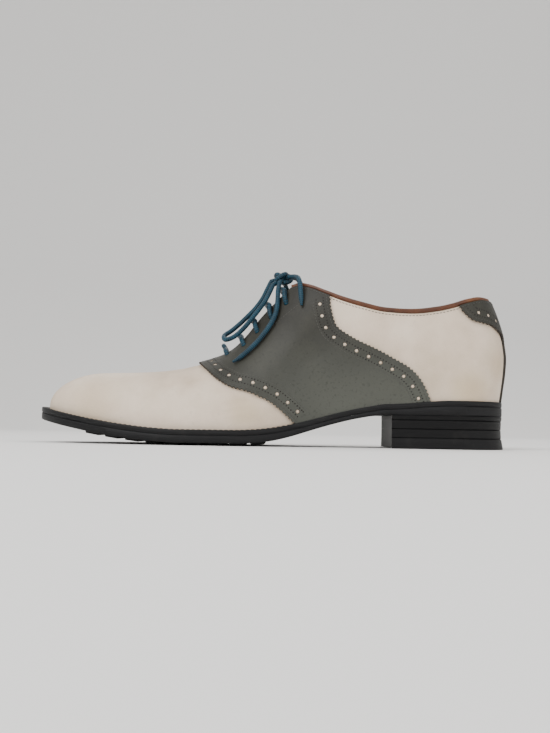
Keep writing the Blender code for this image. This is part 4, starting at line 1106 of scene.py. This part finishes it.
heelSize = {
    "flare": 0.0009, "breastHollow": 0.0025, "round": 0.00035,
    "layers": (  # name, node, height of its lower face, thickness, flare below and above
        ("topLift", "top_lift", 0.0, 0.0061, 1.0, -0.33), ("heelLift1", "heel_lift_1", 0.0064, 0.0051, -0.44, -0.66),
        ("heelLift2", "heel_lift_2", 0.0118, 0.0051, -0.66, -0.44),
        ("heelRand", "heel_rand", 0.0172, 0.0026, -0.33, 0.0),
    ),
}


def heelOutline(grow):
    s = (shoe["heelLength"] + grow) * (1 - np.cos(np.linspace(0.0, math.pi / 2, 60))) - grow
    outer, inner = (middle(s) + k * halfWidth(s, k, -grow, -grow, 0.0) for k in (-1, 1))
    t = np.linspace(0.0, 1.0, 15)[1:-1]
    breastX = xAt(shoe["heelLength"] - heelSize["breastHollow"] * 4 * t * (1 - t))
    breast = np.stack([breastX, outer[-1] + (inner[-1] - outer[-1]) * t], 1)
    return np.concatenate([np.stack([xAt(s), outer], 1), breast, np.stack([xAt(s), inner], 1)[:0:-1]])


for name, node, low, tall, flareLow, flareHigh in heelSize["layers"]:
    tall += shoe["gap"] - touch  # the layers lie on each other
    rings, r = [], heelSize["round"]
    for part, inward in ((0.0, r), (r / tall, 0.0), (0.5, 0.0), (1 - r / tall, 0.0), (1.0, r)):
        xy = heelOutline(heelSize["flare"] * (flareLow + (flareHigh - flareLow) * part) - inward)
        rings.append(np.column_stack([xy, np.full(len(xy), low + tall * part)]))
    looped(name, rings, heelRubberWithPaintedShade, "black_rubber", node)
print("sole and heel built")


# Stitches and pricked holes; sizes are length, width, height and unevenness

threadSize = {"stitch": (0.0017, 0.00045, 0.00030, 0.15), "weltStitch": (0.0026, 0.0007, 0.0005, 0.1),
              "prick": (0.00085, 0.00085, 0.00006, 0.3), "plug": (0.0024, 0.0024, saddleLift - 0.0004, 0.0)}

# the white leather swells up into the pierced holes
underHoles = [(p - out * (saddleLift - 0.0001), out, run) for p, out, run in seams["holes"]]
for name, tree, places, size, finish, slotName in (
    ("edgeStitches", beadTree, seams["edge"] + seams["inner"] + seams["facing"], "stitch", darkThread, "grey_leather"),
    # the pricks are flat near-black dots: painted shade standing for the holes
    ("prickedRows", dotTree, seams["prick"], "prick", prickPaintedShade, "grey_leather"),
    ("whiteUnderHoles", dotTree, underHoles, "plug", whiteCalf, "white_leather"),
    ("weltStitches", beadTree, seams["welt"], "weltStitch", blackThread, "black_rubber"),
    ("collarStitches", beadTree, seams["collar"], "stitch", darkThread, "brown_leather"),
):
    repeated(name, tree, places, threadSize[size], finish, slotName)
print("stitched", {key: len(value) for key, value in seams.items()})


# Floor, light and world

stageLook = {
    "floor": "#E9E8E6", "world": "#F6F5F4", "worldStrength": 1.05, "aim": (-0.10, 0.0, 0.05),
    "sweepFrom": 1.6, "sweepRadius": 1.4, "floorLow": -0.0002,
    "lights": {  # place, size and power
        "keyLight": ((-0.9, -1.1, 1.3), 1.2, 26.0), "fillLight": ((1.2, -1.2, 0.7), 1.4, 9.0),
        "rimLight": ((0.2, 1.4, 1.5), 1.0, 10.0),
    },
}

# paper on the floor that sweeps up behind the shoe
start, r = stageLook["sweepFrom"], stageLook["sweepRadius"]
bend = [(start + r * math.sin(a), r - r * math.cos(a)) for a in np.linspace(0.1, math.pi / 2, 14)]
sweep = [(-4.0, 0.0), (start, 0.0), *bend, (3.0, 6.0)]
floorMesh = bpy.data.meshes.new("studioFloor")
floorMesh.from_pydata([(x, y, z) for y, z in sweep for x in (-8, 8)], [],
                      [(i, i + 1, i + 3, i + 2) for i in range(0, 2 * len(sweep) - 2, 2)])
floorMesh.shade_smooth()
floorMesh.materials.append(newMaterial("palePaper", Roughness=0.9, Base_Color=stageLook["floor"])[0])
studioFloor = placed("studioFloor", floorMesh)
studioFloor.location.z = stageLook["floorLow"]

world = bpy.data.worlds.new("softStudio")
scene.world = world
world.use_nodes = True
background = {"Color": stageLook["world"], "Strength": stageLook["worldStrength"]}
feed(world.node_tree, world.node_tree.nodes["Background"], background)

for name, (place, size, power) in stageLook["lights"].items():
    light = bpy.data.lights.new(name, "AREA")
    light.size, light.energy = size, power
    aimed(placed(name, light), place, stageLook["aim"])
print("stage lit")
